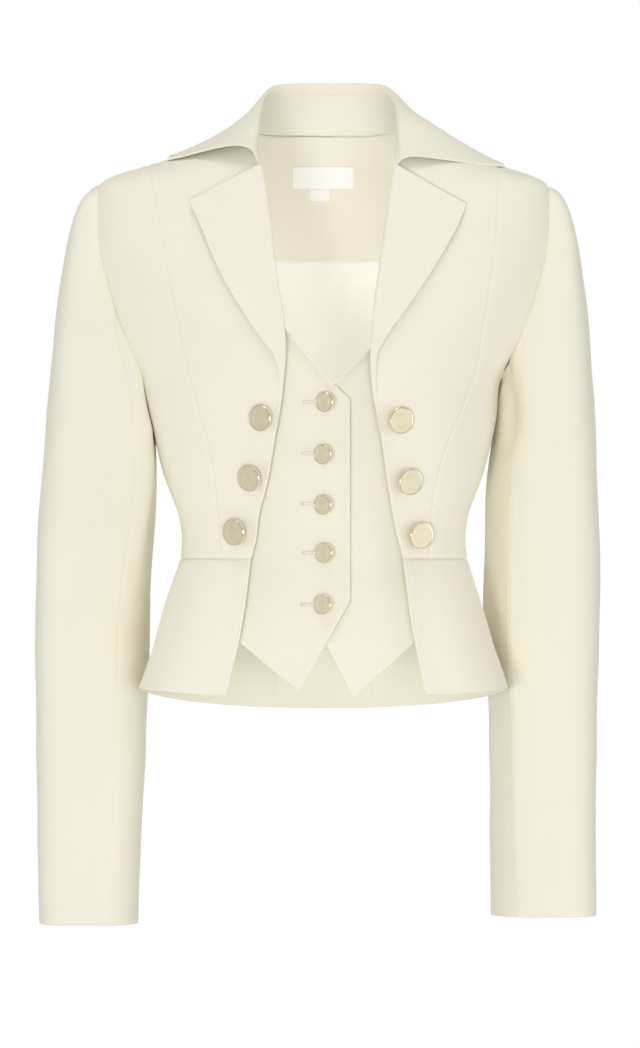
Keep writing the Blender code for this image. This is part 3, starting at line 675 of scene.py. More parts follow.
def cloth(
    node, dense, edges, towards=from_axis, wall=SHELL_WALL, look=CREPE, step=STEP,
    slot="crepe", held="draped", crease=True,
):
    """A cloth piece in place of a node, through a dense grid of its outside."""
    grid = relay(dense, step, node in LEVEL_PIECES)
    normal = normals(grid, towards(grid))
    if crease:
        grid = grid + normal * folds(node, grid)[..., None]
        normal = normals(grid, normal)
    outer, inner = offsets(grid, wall(grid) if callable(wall) else wall, edges)
    mesh = shell(node, grid + normal * outer[..., None], grid + normal * inner[..., None])
    made = piece(f"{node}_cloth", mesh, look, node)
    width = float(lengths(grid, 1)[:, -1].max())
    length = float(lengths(grid, 0)[-1].max())
    half = np.cross(grid[1:, 1:] - grid[:-1, :-1], grid[1:, :-1] - grid[:-1, 1:])
    area = float(np.linalg.norm(half, axis=-1).sum() / 2)
    width *= min(1.0, area / (LEAST_FILL * width * length))
    return made


# Soft unevenness of the cloth. Columns: direction x, y and z, then length and height in millimetres
WAVES = (
    (0.9, 0.3, 0.4, 61, 0.16), (-0.5, 0.6, 0.7, 47, 0.14), (0.2, -0.7, 0.8, 83, 0.22),
    (0.7, 0.7, -0.3, 35, 0.08), (-0.8, 0.2, 0.6, 26, 0.05),
)

# Creases in millimetres. Columns: both ends, how far the line bows, its width, and its depth, less
# than 0 on a ridge. An end is x and z on the body, and on a sleeve the length round it and z
CREASES = {}
CREASES["front"] = (
    (-184, -112, -98, -190, 8, 15, 2.0), (-176, -148, -120, -222, 5, 18, -2.0),
    (-160, -196, -116, -246, 5, 9, 0.6), (-140, -262, -104, -282, -4, 8, 0.4),
    (184, -120, 112, -196, -8, 15, 1.5), (172, -158, 128, -228, -5, 17, -1.5),
    (156, -206, 124, -252, -4, 9, 0.5), (-119, -336, -80, -345, 3, 6, 0.6),
    (-121, -352, -90, -357, -2, 5, 0.5), (122, -340, 90, -349, -3, 6, 0.6),
    (121, -355, 98, -359, 2, 5, 0.4), (-66, -262, -58, -294, 3, 8, 0.4),
    (84, -268, 76, -298, -3, 8, 0.4), (-126, -378, -140, -478, -4, 13, 0.9),
    (-100, -380, -106, -474, 3, 16, -0.8), (108, -382, 112, -478, 3, 15, -0.9),
    (132, -380, 146, -474, -3, 12, 0.8),
)
CREASES["back"] = (
    (-150, -96, -72, -176, 10, 17, 2.0), (-168, -150, -96, -222, 6, 13, 1.6),
    (146, -104, 78, -188, -9, 16, 1.8), (166, -160, 104, -226, -6, 12, 1.4),
    (-112, -306, -30, -318, 5, 9, 1.6), (104, -312, 22, -326, -5, 9, 1.8),
    (-84, -334, 30, -344, 4, 7, 1.6), (96, -340, 10, -352, -3, 6, 1.3),
    (-22, -70, -14, -250, 3, 20, 1.6), (-96, -376, -112, -480, -4, 14, 1.8),
    (-62, -378, -68, -490, 3, 14, -1.6), (70, -376, 80, -488, 4, 14, 1.8),
    (106, -378, 118, -484, -3, 13, -1.6), (8, -378, 10, -496, 2, 15, 1.4),
)
CREASES["sleeve_right"] = (
    (92, -150, 48, -240, 5, 13, 0.8), (122, -236, 88, -330, -5, 11, 0.8),
    (150, -428, 92, -452, 6, 9, 1.2), (146, -462, 98, -474, -4, 8, 1.0),
    (152, -398, 108, -412, 3, 8, 0.7), (60, -300, 70, -610, 8, 18, 0.9),
    (26, -110, 14, -250, 4, 14, 1.1), (186, -420, 232, -446, 6, 10, 1.8),
    (184, -458, 226, -470, -4, 9, 1.6), (240, -300, 250, -560, -6, 18, 1.6),
    (262, -120, 276, -230, -4, 13, 1.4),
)
CREASES["sleeve_left"] = (
    (88, -146, 50, -232, 5, 13, 0.8), (112, -178, 103, -285, 0, 13, 6.0),
    (120, -250, 92, -350, -5, 11, 0.9), (148, -416, 96, -436, 6, 9, 1.1),
    (150, -448, 102, -462, -4, 8, 1.0), (100, -290, 100, -676, 0, 6, -1.8),
    (122, -310, 124, -664, -3, 12, 1.0), (52, -340, 60, -600, 7, 17, 0.8),
    (184, -430, 230, -452, 6, 10, 1.8), (188, -466, 228, -480, -4, 9, 1.4),
    (244, -320, 236, -600, 6, 18, 1.6), (258, -118, 272, -240, -4, 13, 1.4),
)
CREASES["lining"] = (
    (-52, -112, -60, -330, 5, 9, 1.2), (-18, -112, -14, -340, -4, 12, -0.9),
    (22, -112, 30, -320, 4, 10, 1.0), (58, -112, 64, -340, -4, 9, -0.8),
)
# Creases for the pieces whose names start so, where the first that fits is used
CREASE_PLACES = {
    "front": "front",
    "peplum_front": "front",
    "back_lining": "lining",
    "back_facing": "none",
    "back": "back",
    "peplum": "back",
}
SLEEVE_ROUND = 290 * MM
CREASE_END_WIDTH = 0.6
CREASE_TAPER = 0.8


def sleeve_middle(side, z):
    return (SLEEVE(f"{side}_in", z) + SLEEVE(f"{side}_out", z)) / 2


def crease_lines(node, grid):
    """The creases that a piece has, and its points in their coordinates."""
    if node.startswith("sleeve"):
        side = node.split("_")[-1]
        z = np.clip(grid[..., 2], CUFF_Z["right"], SLEEVE_TOP_Z)
        beside = np.abs(grid[..., 0]) - sleeve_middle(side, z)
        turn = np.arctan2(SLEEVE("centre_y", z) - grid[..., 1], beside)
        return CREASES[f"sleeve_{side}"], turn % (2 * math.pi) / (2 * math.pi) * SLEEVE_ROUND
    for start, place in CREASE_PLACES.items():
        if node.startswith(start):
            return CREASES.get(place, ()), grid[..., 0]
    return (), grid[..., 0]


def folds(node, grid):
    """How far the cloth stands out at each point, for its creases and its soft unevenness."""
    out = np.zeros(grid.shape[:2])
    for number, (x, y, z, length, height) in enumerate(WAVES):
        along = grid @ np.array([x, y, z]) * 2 * math.pi / (length * MM)
        out += height * MM * np.sin(along + number)
    lines, across = crease_lines(node, grid)
    for x0, z0, x1, z1, bow, width, depth in np.array(lines) * MM:
        run = math.hypot(x1 - x0, z1 - z0)
        along = ((across - x0) * (x1 - x0) + (grid[..., 2] - z0) * (z1 - z0)) / run**2
        beside = ((across - x0) * (z1 - z0) - (grid[..., 2] - z0) * (x1 - x0)) / run
        arch = np.sin(math.pi * np.clip(along, 0, 1))
        spread = width * lerp(CREASE_END_WIDTH, 1, arch)
        out -= depth * arch**CREASE_TAPER * bell(beside - bow * arch, spread)
    return out


# Body panels
def edge_curl(side, x, z):
    """How far a front stands off near its edge."""
    fall = smooth((EDGE_CURL_TOP_Z - z) / EDGE_CURL_RUN)
    return EDGE_CURL * fall * bell(np.abs(x) - FRONT_EDGE(side, z), EDGE_CURL_WIDTH)


def front_centre(side, sign):
    edge = FRONT_EDGE(side, body_rows(0.0))
    seam = PRINCESS(side, body_rows(PRINCESS_TOP_Z))
    x = lerp(edge, seam, span(DENSE // 2))
    z = body_rows(ridge(x[0]))
    angle = angle_at(TORSO, x, z)
    angle[0] = math.pi / 2
    grid = on_form(TORSO, sign * angle, z, edge_curl(side, x, z))
    return cloth(f"front_centre_{side}", grid, "swes")


def seam_line(line, column, top_z):
    """Turn and height of a body seam from its top to the waist, on the front or on the back."""
    z = body_rows(top_z)
    angle = angle_at(TORSO, line(column, z), z, column == "back")
    angle[0] = math.pi / 2
    return angle, z


def fuller(points, side):
    """Points near the side of the body moved out at the underarm."""
    x, y, z = np.moveaxis(points, -1, 0)
    near = np.clip((np.abs(x) - FULL_FROM_X) / (TORSO("half", z) - FULL_FROM_X), 0, 1) ** FULL_CURVE
    out = FULL_SIDE[side] * near * bell(z - UNDERARM_Z, FULL_RUN)
    return np.stack([x + np.sign(x) * out, y, z], axis=-1)


def side_panel(name, column, side, sign):
    """Between a princess seam and the armhole and side seam, on the front or on the back."""
    share = span(DENSE // 3)
    seam_angle, seam_z = seam_line(PRINCESS, column, PRINCESS_TOP_Z)
    armhole = "back" if column == "back" else "front"
    outer_angle, outer_z = seam_line(ARMHOLE, armhole, SHOULDER_TIP_Z)
    outer_angle[outer_z <= UNDERARM_Z] = math.pi / 2
    angle = lerp(seam_angle, outer_angle, share)
    z = lerp(seam_z, outer_z, share)
    grid = fuller(on_form(TORSO, sign * angle, z), side)
    cloth(name, grid, "swsa")


def back_line(shoulder_x):
    """Shoulder seam from a distance out to the neck, then the back neck to the centre plane."""
    shoulder = np.linspace(shoulder_x, float(TORSO("half", 0.0)), DENSE // 5)
    turn = np.linspace(0, math.pi / 2, DENSE // 5)[1:]
    share = np.cos(turn) ** (2 / SHOULDER_SQUARE)
    x = np.concatenate([shoulder, shoulder[-1] * share])
    z = np.concatenate([ridge(shoulder), NECK_BACK_Z * (1 - share**2)])
    return x, z, len(shoulder)


def round_back(x, z, shoulder):
    """Points of a back panel whose columns run from one side to the centre plane, mirrored."""
    angle = angle_at(TORSO, x, z, True)
    angle[0, :shoulder] = math.pi / 2
    angle[:, -1] = math.pi
    angle = np.concatenate([angle, 2 * math.pi - angle[:, -2::-1]], axis=1)
    return angle, np.concatenate([z, z[:, -2::-1]], axis=1)


def back_centre():
    top_x, top_z, shoulder = back_line(float(TORSO("half", PRINCESS_TOP_Z)))
    x = PRINCESS("back", body_rows(PRINCESS_TOP_Z)) * top_x / top_x[0]
    angle, z = round_back(x, body_rows(top_z), shoulder)
    cloth("back_centre", on_form(TORSO, angle, z), "swss")


# Peplum
def hem_z(angle):
    """Height of the hem, lower at the front edges and at the back."""
    along = np.cos(angle)
    front = HEM_FRONT_DROP * np.abs(along) ** HEM_FRONT_CURVE
    back = HEM_BACK_DROP * np.abs(along) ** HEM_BACK_CURVE
    return HEM_SIDE_Z - np.where(along > 0, front, back)


def peplum_seam(kind, side, z):
    """Turn of a peplum's front edge, side seam or back seam at each height."""
    sign = dict(SIDES)[side]
    if kind == "edge":
        return sign * angle_at(PEPLUM, FRONT_EDGE(side, z), z)
    if kind == "back":
        return sign * angle_at(PEPLUM, PEPLUM_BACK_SEAM("back", z), z, True)
    return np.full(np.shape(z), sign * math.pi / 2)


def peplum_panel(name, first, last, edges):
    """Between two seams, each a kind and a side."""
    share = span(DENSE // 2)
    down = span(DENSE // 3)[:, None]
    z = np.full((len(down), len(share)), WAIST_Z)
    for _ in range(HEM_ROUNDS):
        start = peplum_seam(*first, z)
        end = peplum_seam(*last, z)
        end = np.where((start > 0) & (end < 0), end + 2 * math.pi, end)
        angle = lerp(start, end, share)
        z = lerp(WAIST_Z, hem_z(angle), down)
    grid = on_form(PEPLUM, angle, z)
    if first[0] == "edge":
        grid = on_form(PEPLUM, angle, z, edge_curl(first[1], grid[..., 0], z))
    cloth(name, grid, edges)


def peplum():
    for side, _ in SIDES:
        peplum_panel(f"peplum_front_{side}", ("edge", side), ("side", side), "wfes")
        peplum_panel(f"peplum_side_{side}", ("side", side), ("back", side), "wfss")
    peplum_panel("peplum_back", ("back", "left"), ("back", "right"), "wfss")


# Sleeves
def armhole_points(side, sign, turn):
    """Points of the armhole, from the shoulder tip down the front and up the back by turn."""
    found = []
    z = lerp(SHOULDER_TIP_Z, UNDERARM_Z, span(DENSE) ** CROWDING)
    for column in ("front", "back"):
        angle = angle_at(TORSO, ARMHOLE(column, z), z, column == "back")
        angle[[0, -1]] = math.pi / 2
        points = fuller(on_form(TORSO, sign * angle, z), side)
        run = lengths(points, 0)
        share = np.minimum(turn, 1 - turn) * 2 * run[-1]
        found.append(np.stack([np.interp(share, run, points[:, k]) for k in range(3)], axis=-1))
    return np.where((turn > 0.5)[:, None], found[1], found[0])


def sleeve_ring(side, sign, z, turn):
    """One section of the sleeve below the armhole."""
    inner = SLEEVE(f"{side}_in", z)
    outer = SLEEVE(f"{side}_out", z)
    around = 2 * math.pi * turn
    across = bent(np.cos(around), 2 / SLEEVE_FRONT_SQUARE)
    along = bent(np.sin(around), 2 / SLEEVE_SIDE_SQUARE)
    x = sleeve_middle(side, z) + (outer - inner) / 2 * across
    x = x + SLEEVE_SLANT[side] * np.clip(along, 0, 1) * np.clip(-across, 0, 1)
    y = SLEEVE("centre_y", z) - SLEEVE("half_depth", z) * along
    return np.stack([sign * x, y, np.broadcast_to(z, np.shape(y))], axis=-1)


def hugged(grid, side, sign, turn):
    """A sleeve moved in against the side of the body, where it lies on it."""
    x, y, z = np.moveaxis(grid, -1, 0)
    half, middle, depth = section(TORSO, z, y > TORSO("side", z))
    power = square(z)
    body = half * np.clip(1 - np.abs((y - middle) / depth) ** power, 0, 1) ** (1 / power)
    body = fuller(np.stack([body, y, z], axis=-1), side)[..., 0]
    opens, full, closes, over = HUG_TURNS
    turn = turn % 1
    near = smooth((turn - opens) / (full - opens)) * smooth((over - turn) / (over - closes))
    share = HUG[side] * near * smooth((z - HUG_FOOT_Z) / HUG_RUN)
    inner = np.maximum(body + HUG_CLEAR, SLEEVE(f"{side}_in", z))
    moved = lerp(np.abs(x), np.minimum(np.abs(x), inner), share)
    return np.stack([sign * moved, y, z], axis=-1)


def sleeve_grid(side, sign, turn):
    """Part of a sleeve: the cap leaves the armhole and turns down into the arm."""
    armhole = armhole_points(side, sign, turn % 1)
    arm_top = sleeve_ring(side, sign, SLEEVE_TOP_Z, turn)
    along = np.cos(2 * math.pi * turn)
    across = np.sin(2 * math.pi * turn)
    leave = [sign * polyval(along, CAP_OUT), -CAP_FORWARD * across, polyval(along, CAP_RISE)]
    leave = np.stack(leave, axis=-1)
    first = armhole + leave * polyval(along, CAP_REACH)[:, None]
    tucked = armhole - unit(leave) * TUCK
    tuck = lerp(tucked, armhole, span(DENSE // 12)[:-1, None, None])
    second = arm_top + np.array([0, 0, 1]) * polyval(along, CAP_HANG)[:, None]
    second[:, 0] -= sign * CAP_SLOPE * np.maximum(along, 0)
    cap = curve(armhole, first, second, arm_top, span(DENSE // 3)[:, None, None])
    heights = np.linspace(SLEEVE_TOP_Z, CUFF_Z[side], DENSE // 2)[1:, None]
    arm = sleeve_ring(side, sign, heights, turn[None, :])
    return hugged(soften(np.concatenate([tuck, cap, arm]), SLEEVE_SOFTEN), side, sign, turn)


def sleeve(side, sign):
    middle = sign * sleeve_middle(side, SLEEVE_TOP_Z)

    def from_arm(grid):
        return from_axis(grid - np.array([middle, ARM_MIDDLE_Y, 0]))

    seam = FRONT_SEAM_TURN[side]
    for name, start, end in (("under", seam, BACK_SEAM_TURN), ("top", BACK_SEAM_TURN, 1 + seam)):
        grid = sleeve_grid(side, sign, np.linspace(start, end, DENSE // 2))
        cloth(f"sleeve_{name}_{side}", grid, "tfll", from_arm, step=WIDE_STEP)


# Collar
def collar_curves(turn):
    """Seam of the stand, the two handles of the roll, and the outer edge on the shoulders."""
    lines = []
    for name in ("seam", "crown", "drape"):
        lines.append(np.stack([COLLAR(f"{name}_{axis}", turn) for axis in "xyz"], axis=-1))
    x = COLLAR("edge_x", turn)
    y = COLLAR("edge_y", turn)
    z = rest_height(x, y)
    angle = angle_at(TORSO, x, z, y > TORSO("side", z))
    return lines + [on_form(TORSO, angle, z, COLLAR_LIFT)]


def neck_seam(turn):
    """The seam that the stand is sewn to, from one gorge round the back neck to the other."""
    share = np.abs(turn)
    front = np.clip((share - NECK_SIDE_TURN) / (1 - NECK_SIDE_TURN), 0, 1)
    back_z = NECK_BACK_Z * (1 - share / NECK_SIDE_TURN)
    z = np.where(share > NECK_SIDE_TURN, GORGE_Z * front**GORGE_CURVE, back_z)
    edge = np.where(turn < 0, FRONT_EDGE("right", z), FRONT_EDGE("left", z))
    front_angle = angle_at(TORSO, edge, z)
    back_angle = math.pi - math.pi / 2 * share / NECK_SIDE_TURN
    angle = np.where(share > NECK_SIDE_TURN, front_angle, back_angle)
    out = -NECK_TURN_IN * np.clip((1 - share) / (1 - NECK_SIDE_TURN), 0, 1)
    return on_form(TORSO, np.where(turn < 0, -angle, angle), z, out)


def collar():
    turn = np.linspace(-1, 1, DENSE)
    seam, crown, drape, edge = collar_curves(turn)
    along = span(DENSE // 3)[None, :, None]
    fall = curve(seam[:, None], crown[:, None], drape[:, None], edge[:, None], along)
    cloth("collar_fall", fall, "ffsf", lambda grid: COLLAR_FACES, COLLAR_WALL, step=FINE_STEP)
    foot = neck_seam(turn)
    lap = np.clip((1 - np.abs(turn)) / (1 - NECK_SIDE_TURN), 0, 1)[:, None]
    foot += lap * (np.array([0, 0, -STAND_LAP]) + STAND_PROUD * unit(to_axis(foot)))
    stand = lerp(foot[:, None], seam[:, None], span(DENSE // 6)[None, :, None])
    cloth("collar_stand", stand, "ffes", to_axis, COLLAR_WALL, FACING, FINE_STEP)


# Lapels
def lapel_slack(z):
    """How full the roll is at a height: it flattens into the front edge at the break."""
    return lerp(LAPEL_LEAST, 1, smooth((z - LAPEL_BREAK_Z) / LAPEL_BREAK_RUN))


def lapel_wall(z):
    return LAPEL_WALL * np.sqrt(lapel_slack(z))


def lapel(side, sign):
    row = np.linspace(0, LAPEL_LAST_ROW, DENSE)[:, None] * MM
    roll_z = LAPEL("roll_z", row)
    roll_x = FRONT_EDGE(side, roll_z)
    slack = lapel_slack(roll_z)
    turn = np.linspace(0, math.pi, DENSE // 8)
    turn_in = slack * LAPEL_ROLL_IN * np.sin(turn)
    turn_out = slack * LAPEL_LIFT_ROLL * (1 - np.cos(turn)) / 2
    share = span(DENSE // 2)[None, 1:]
    x = np.concatenate([roll_x - turn_in, lerp(roll_x, LAPEL(f"{side}_x", row), share)], axis=1)
    z = np.concatenate([roll_z + 0 * turn, lerp(roll_z, LAPEL(f"{side}_z", row), share)], axis=1)
    flat = slack * lerp(LAPEL_LIFT_ROLL, LAPEL_LIFT_EDGE, 1 - (1 - share) ** LAPEL_FLATTEN)
    out = np.concatenate([turn_out, flat], axis=1) + lapel_wall(roll_z) + edge_curl(side, x, z)
    grid = on_form(TORSO, sign * angle_at(TORSO, x, z), z, out)

    def thickness(points):
        return lapel_wall(points[..., 2])

    cloth(f"lapel_{side}", grid, "fhhf", wall=thickness, step=FINE_STEP)


# Waistcoat fronts
def waistcoat(side, sign, rows, depth):
    rows = np.array(rows, dtype=float) * MM
    run = lengths(rows[:, :2], 0)
    even = np.linspace(0, run[-1], 2 * DENSE)
    inner_x, inner_z, outer_z = (np.interp(even, run, rows[:, i])[:, None] for i in range(3))
    below = np.clip((outer_z - WAIST_Z) / (outer_z[-1] - WAIST_Z), 0, 1)
    outer_x = lerp(PRINCESS(side, outer_z), WAISTCOAT_HEM_X, below)
    share = span(DENSE // 2)
    x = lerp(inner_x, outer_x, share)
    z = lerp(inner_z, outer_z, share)
    out = -lerp(depth, SHELL_WALL + WAISTCOAT_CLEAR, share**2)
    out = out + WAISTCOAT_CURL * bell(x - inner_x, WAISTCOAT_CURL_WIDTH)
    grid = on_form(INSIDE, angle_at(INSIDE, sign * x, z), z, out)
    return cloth(f"waistcoat_{side}", grid, "hffh", wall=WAISTCOAT_WALL, step=WAISTCOAT_STEP)


# Inside back
def inside_back():
    top_x, top_z, shoulder = back_line(FACING_SHOULDER_X)
    down = span(DENSE)[:, None]
    foot_z = lerp(FACING_MIDDLE_Z, FACING_SIDE_Z, (top_x / top_x[0]) ** 2)
    x = lerp(top_x, top_x / top_x[0] * FACING_SPREAD * FACING_SHOULDER_X, down)
    z = lerp(top_z, foot_z, down**FACING_CURVE)
    angle, z = round_back(x, z, shoulder)
    out = -SHELL_WALL - LINING_CLEAR - FACING_WALL
    meet = np.clip(1 - down / FACING_MEET, 0, 1) ** 2
    grid = on_form(TORSO, angle, z, lerp(out, -NECK_TURN_IN, meet) + 0 * z)
    cloth("back_facing", grid, "sshh", to_axis, FACING_WALL, FACING, WIDE_STEP)
    across = np.linspace(-1, 1, DENSE)
    top_z = lerp(FACING_SIDE_Z, FACING_MIDDLE_Z, 1 - across**2)
    z = lerp(top_z, LINING_FOOT_Z, down)
    x = LINING_X("half", z) * across
    grid = on_form(TORSO, angle_at(TORSO, x, z, True), z, out)
    kind = (to_axis, LINING_WALL, SATIN, WIDE_STEP, "lining_satin", "hung")
    cloth("back_lining", grid, "shhh", *kind)
    kind = (to_axis, LABEL_WALL, RIBBON, LABEL_STEP, "label_ribbon", "laid", False)
    out -= LABEL_CLEAR
    for name, *sizes in LABELS:
        middle, width, top, foot = np.array(sizes) * MM
        z = np.linspace(top, foot, DENSE // 2)[:, None]
        x, z = np.broadcast_arrays(middle + width / 2 * across, z)
        grid = on_form(TORSO, angle_at(TORSO, x, z, True), z, out)
        cloth(name, grid, "ffff", *kind)


# Buttons: profile as shares of the radius and the height
BUTTON_PROFILE = (
    (0.0, 0.975), (0.30, 0.975), (0.480, 0.975), (0.492, 0.975), (0.502, 0.945),
    (0.548, 0.945), (0.558, 0.975), (0.570, 0.975), (0.80, 0.975), (0.893, 0.975),
    (0.905, 0.975), (0.912, 1.0), (0.922, 1.0), (0.955, 1.0), (0.968, 0.995),
    (0.985, 0.965), (0.996, 0.92), (1.0, 0.86), (1.0, 0.78), (1.0, 0.48),
    (0.99, 0.40), (0.95, 0.32), (0.84, 0.27), (0.30, 0.22), (0.27, 0.18),
    (0.26, -0.55), (0.0, -0.55),
)


def faces_of(made):
    return BVHTree.FromObject(made, bpy.context.evaluated_depsgraph_get())


def seat_on(faces, x, z):
    """Point of a piece of cloth as met from the front, and the direction square to it."""
    point, normal, _, _ = faces.ray_cast(Vector((x, -1, z)), Vector((0, 1, 0)))
    return point, normal if normal.y < 0 else -normal


def band(first, second, sides):
    """Faces between two rings of points, given where each ring starts."""
    turns = [(k, (k + 1) % sides) for k in range(sides)]
    return [(first + k, second + k, second + j, first + j) for k, j in turns]


def turned(profile, steps):
    """Points and faces of a profile turned about Z, whose ends lie on the axis."""
    rings = profile[1:-1]
    points = [(0, 0, profile[0][1])]
    for radius, height in rings:
        points += [(radius * math.cos(a), radius * math.sin(a), height) for a in ring(steps)]
    points.append((0, 0, profile[-1][1]))
    last = 1 + (len(rings) - 1) * steps
    faces = []
    for i in range(steps):
        j = (i + 1) % steps
        faces += [(0, 1 + i, 1 + j), (last + i, len(points) - 1, last + j)]
    for first in range(1, last, steps):
        faces += band(first, first + steps, steps)
    return points, faces


def button(node, carrier, x, z, diameter, round_turn, up_turn):
    """A turned metal button that leans on its shank to face a way."""
    seat, square_to = seat_on(carrier, x, z)
    profile = np.array(BUTTON_PROFILE) * np.array([diameter / 2, BUTTON_HEIGHT])
    mesh = smooth_mesh(node, *turned(profile, BUTTON_STEPS))
    mesh.materials.append(GOLD)
    mesh.materials.append(GOLD_EDGE)
    for polygon in mesh.polygons:
        polygon.material_index = int(math.hypot(*polygon.center[:2]) > BUTTON_FACE * diameter / 2)
    turned_up = Matrix.Rotation(math.radians(90 - up_turn), 4, "X")
    turned_round = Matrix.Rotation(math.radians(round_turn), 4, "Z")
    lift = Matrix.Translation(seat + square_to * BUTTON_LIFT)
    mesh.transform(lift @ turned_round @ turned_up)
    piece(f"{node}_metal", mesh, None, node)


def buttons(fronts, overlap):
    for side, sign in SIDES:
        for number, (x, z, *facing) in enumerate(JACKET_BUTTONS[side], 1):
            place = (sign * x * MM, z * MM)
            button(f"button_{side}_{number}", fronts[side], *place, JACKET_BUTTON, *facing)
    for number, (x, z, *facing) in enumerate(WAISTCOAT_BUTTONS, 1):
        button(f"waistcoat_button_{number}", overlap, x * MM, z * MM, WAISTCOAT_BUTTON, *facing)


def buttonholes(overlap):
    """Worked slots beside the waistcoat buttons: a ridge of close stitches round each."""
    points = []
    faces = []
    straight = HOLE_LENGTH / 2 - HOLE_HALF
    for x, z, *_ in WAISTCOAT_BUTTONS:
        first = len(points)
        for number, a in enumerate(ring(HOLE_STEPS)):
            end = HOLE_BAR if math.cos(a) < HOLE_BAR_FROM else 1.0
            radius = HOLE_THREAD * end * (1 + HOLE_STITCH * (-1) ** number)
            middle_x = x * MM - HOLE_LENGTH / 2 + math.copysign(straight, math.cos(a))
            for b in ring(HOLE_SIDES):
                reach = HOLE_HALF + radius * math.cos(b)
                at_x = middle_x + reach * math.cos(a)
                at_z = z * MM + reach * math.sin(a)
                point, square_to = seat_on(overlap, at_x, at_z)
                points.append(point + square_to * (HOLE_SINK + radius * math.sin(b)))
        for i in range(HOLE_STEPS):
            ahead = (i + 1) % HOLE_STEPS
            faces += band(first + i * HOLE_SIDES, first + ahead * HOLE_SIDES, HOLE_SIDES)
    mesh = smooth_mesh("waistcoat_buttonholes", points, faces)
    piece("waistcoat_buttonholes", mesh, THREAD)


# Studio
FLOOR_Z = -1.42
FLOOR_RADIUS = 2.5
FLOOR_SIDES = 96
FLOOR_COLOURS = ((0.93, 0.93, 0.92), (0.90, 0.90, 0.89))
FLOOR_NOISE = (3, 2)
FLOOR_ROUGH = 0.8
CAMERA_DISTANCE = 6.0
VIEW_HEIGHT = 0.90128
AIM = Vector((-0.00301, 0, -0.34056))
# The dome is even but for a darker ring behind, which the buttons' edges mirror
DOME = ((0.02, 1.0), (0.56, 1.0), (0.62, 0.12), (0.74, 0.12), (0.80, 1.0), (0.98, 1.0))
DOME_TINT = (1, 0.99, 0.97)
DOME_STRENGTH = 0.5
# Columns: name, place, width, power, and where not as usual: aim, whether polished edges mirror it,
# spread in degrees
MIDDLE = (0, 0, -0.35)
LIGHTS = (
    ("key", (-1.1, -4.25, -0.9), 1.0, 49),
    ("front", (0.9, -4.3, -1.1), 1.8, 27.5),
    ("side_left", (-3.0, 0.0, -0.35), 1.4, 13, MIDDLE, False),
    ("side_right", (2.9, -0.6, -0.35), 1.4, 13.5),
    ("overhead", (0.0, -0.3, 2.6), 1.4, 27),
    ("behind", (0.6, 4.2, 0.4), 1.6, 45),
    ("inside", (-0.03, -0.06, -0.165), 0.1, 0.12, (0, 0.1, -0.135), False),
    ("inside_hem", (0.0, -0.05, -0.42), 0.19, 0.014, (0, 0.09, -0.49), False),
    ("hem_fill", (-0.05, -1.1, -0.05), 0.5, 0.032, (0, -0.1, -0.47), False, 24),
)


def light(name, place, size, power, aim=MIDDLE, mirrored=True, spread=180):
    data = bpy.data.lights.new(name, "AREA")
    data.shape = "DISK"
    data.size = size
    data.energy = power
    data.spread = math.radians(spread)
    made = put(name, data)
    made.location = place
    made.rotation_euler = (Vector(aim) - Vector(place)).to_track_quat("-Z", "Y").to_euler()
    made.visible_camera = False
    made.visible_glossy = mirrored


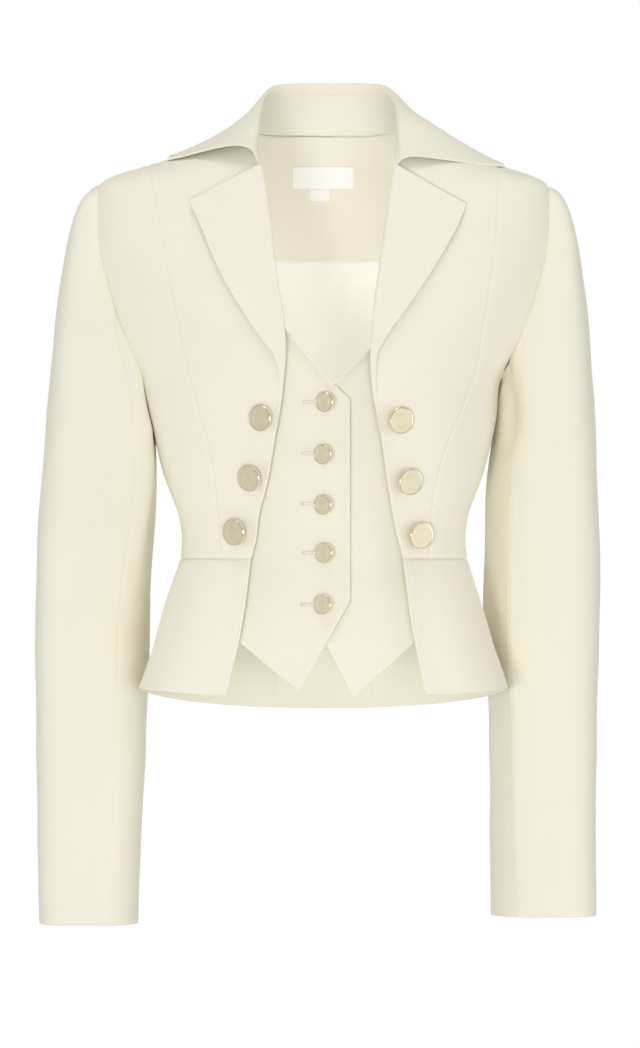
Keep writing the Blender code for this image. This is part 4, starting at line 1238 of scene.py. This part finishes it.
def dome():
    """A white surround for the camera, and a dimmer one that lights the blazer."""
    world = bpy.data.worlds.new("studio")
    world.use_nodes = True
    bpy.context.scene.world = world
    tree = world.node_tree
    seen = tree.nodes["Background"]
    wire(tree, seen, {"Color": (1, 1, 1, 1), "Strength": 1.0})
    sky = add(tree, "ShaderNodeTexCoord", {}).outputs["Generated"]
    axes = add(tree, "ShaderNodeSeparateXYZ", {"Vector": sky})
    along = add(tree, "ShaderNodeMapRange", {"Value": axes.outputs["Y"], "From Min": -1})
    rings = add(tree, "ShaderNodeValToRGB", {0: along.outputs[0]})
    stops = rings.color_ramp.elements
    for place, grey in DOME:
        stops.new(place).color = (*(grey * part for part in DOME_TINT), 1)
    stops.remove(stops[0])
    stops.remove(stops[-1])
    lit = add(tree, "ShaderNodeBackground", {"Color": rings.outputs[0], "Strength": DOME_STRENGTH})
    camera_ray = add(tree, "ShaderNodeLightPath", {}).outputs["Is Camera Ray"]
    mix = add(tree, "ShaderNodeMixShader", {0: camera_ray, 1: lit.outputs[0], 2: seen.outputs[0]})
    wire(tree, tree.nodes["World Output"], {"Surface": mix.outputs[0]})


def studio():
    scene = bpy.context.scene
    scene.view_settings.view_transform = "Standard"
    dome()
    for row in LIGHTS:
        light(*row)

    floor_mesh = bpy.data.meshes.new("floor")
    across = FLOOR_RADIUS * np.cos(ring(FLOOR_SIDES))
    along = FLOOR_RADIUS * np.sin(ring(FLOOR_SIDES))
    rim = [(x, y, FLOOR_Z) for x, y in zip(across, along)]
    floor_mesh.from_pydata(rim, [], [tuple(range(FLOOR_SIDES))])
    look, tree, shader = material("pale_floor")
    colour = ramp(tree, noise(tree, *FLOOR_NOISE), *FLOOR_COLOURS)
    wire(tree, shader, {"Base Color": colour, "Roughness": FLOOR_ROUGH})
    floor_mesh.materials.append(look)
    put("floor", floor_mesh)

    data = bpy.data.cameras.new("camera")
    data.lens = data.sensor_width * CAMERA_DISTANCE / VIEW_HEIGHT
    scene.camera = put("camera", data)
    scene.camera.location = AIM - Vector((0, CAMERA_DISTANCE, 0))
    scene.camera.rotation_euler = (math.pi / 2, 0, 0)


studio()
fronts = {}
for side, sign in SIDES:
    fronts[side] = faces_of(front_centre(side, sign))
    side_panel(f"front_side_{side}", side, side, sign)
    side_panel(f"back_side_{side}", "back", side, sign)
    lapel(side, sign)
back_centre()
peplum()
for side, sign in SIDES:
    sleeve(side, sign)
collar()
overlap = faces_of(waistcoat("right", -1, WAISTCOAT_RIGHT, OVERLAP_DEPTH))
waistcoat("left", 1, WAISTCOAT_LEFT, UNDERLAP_DEPTH)
inside_back()
buttons(fronts, overlap)
buttonholes(overlap)
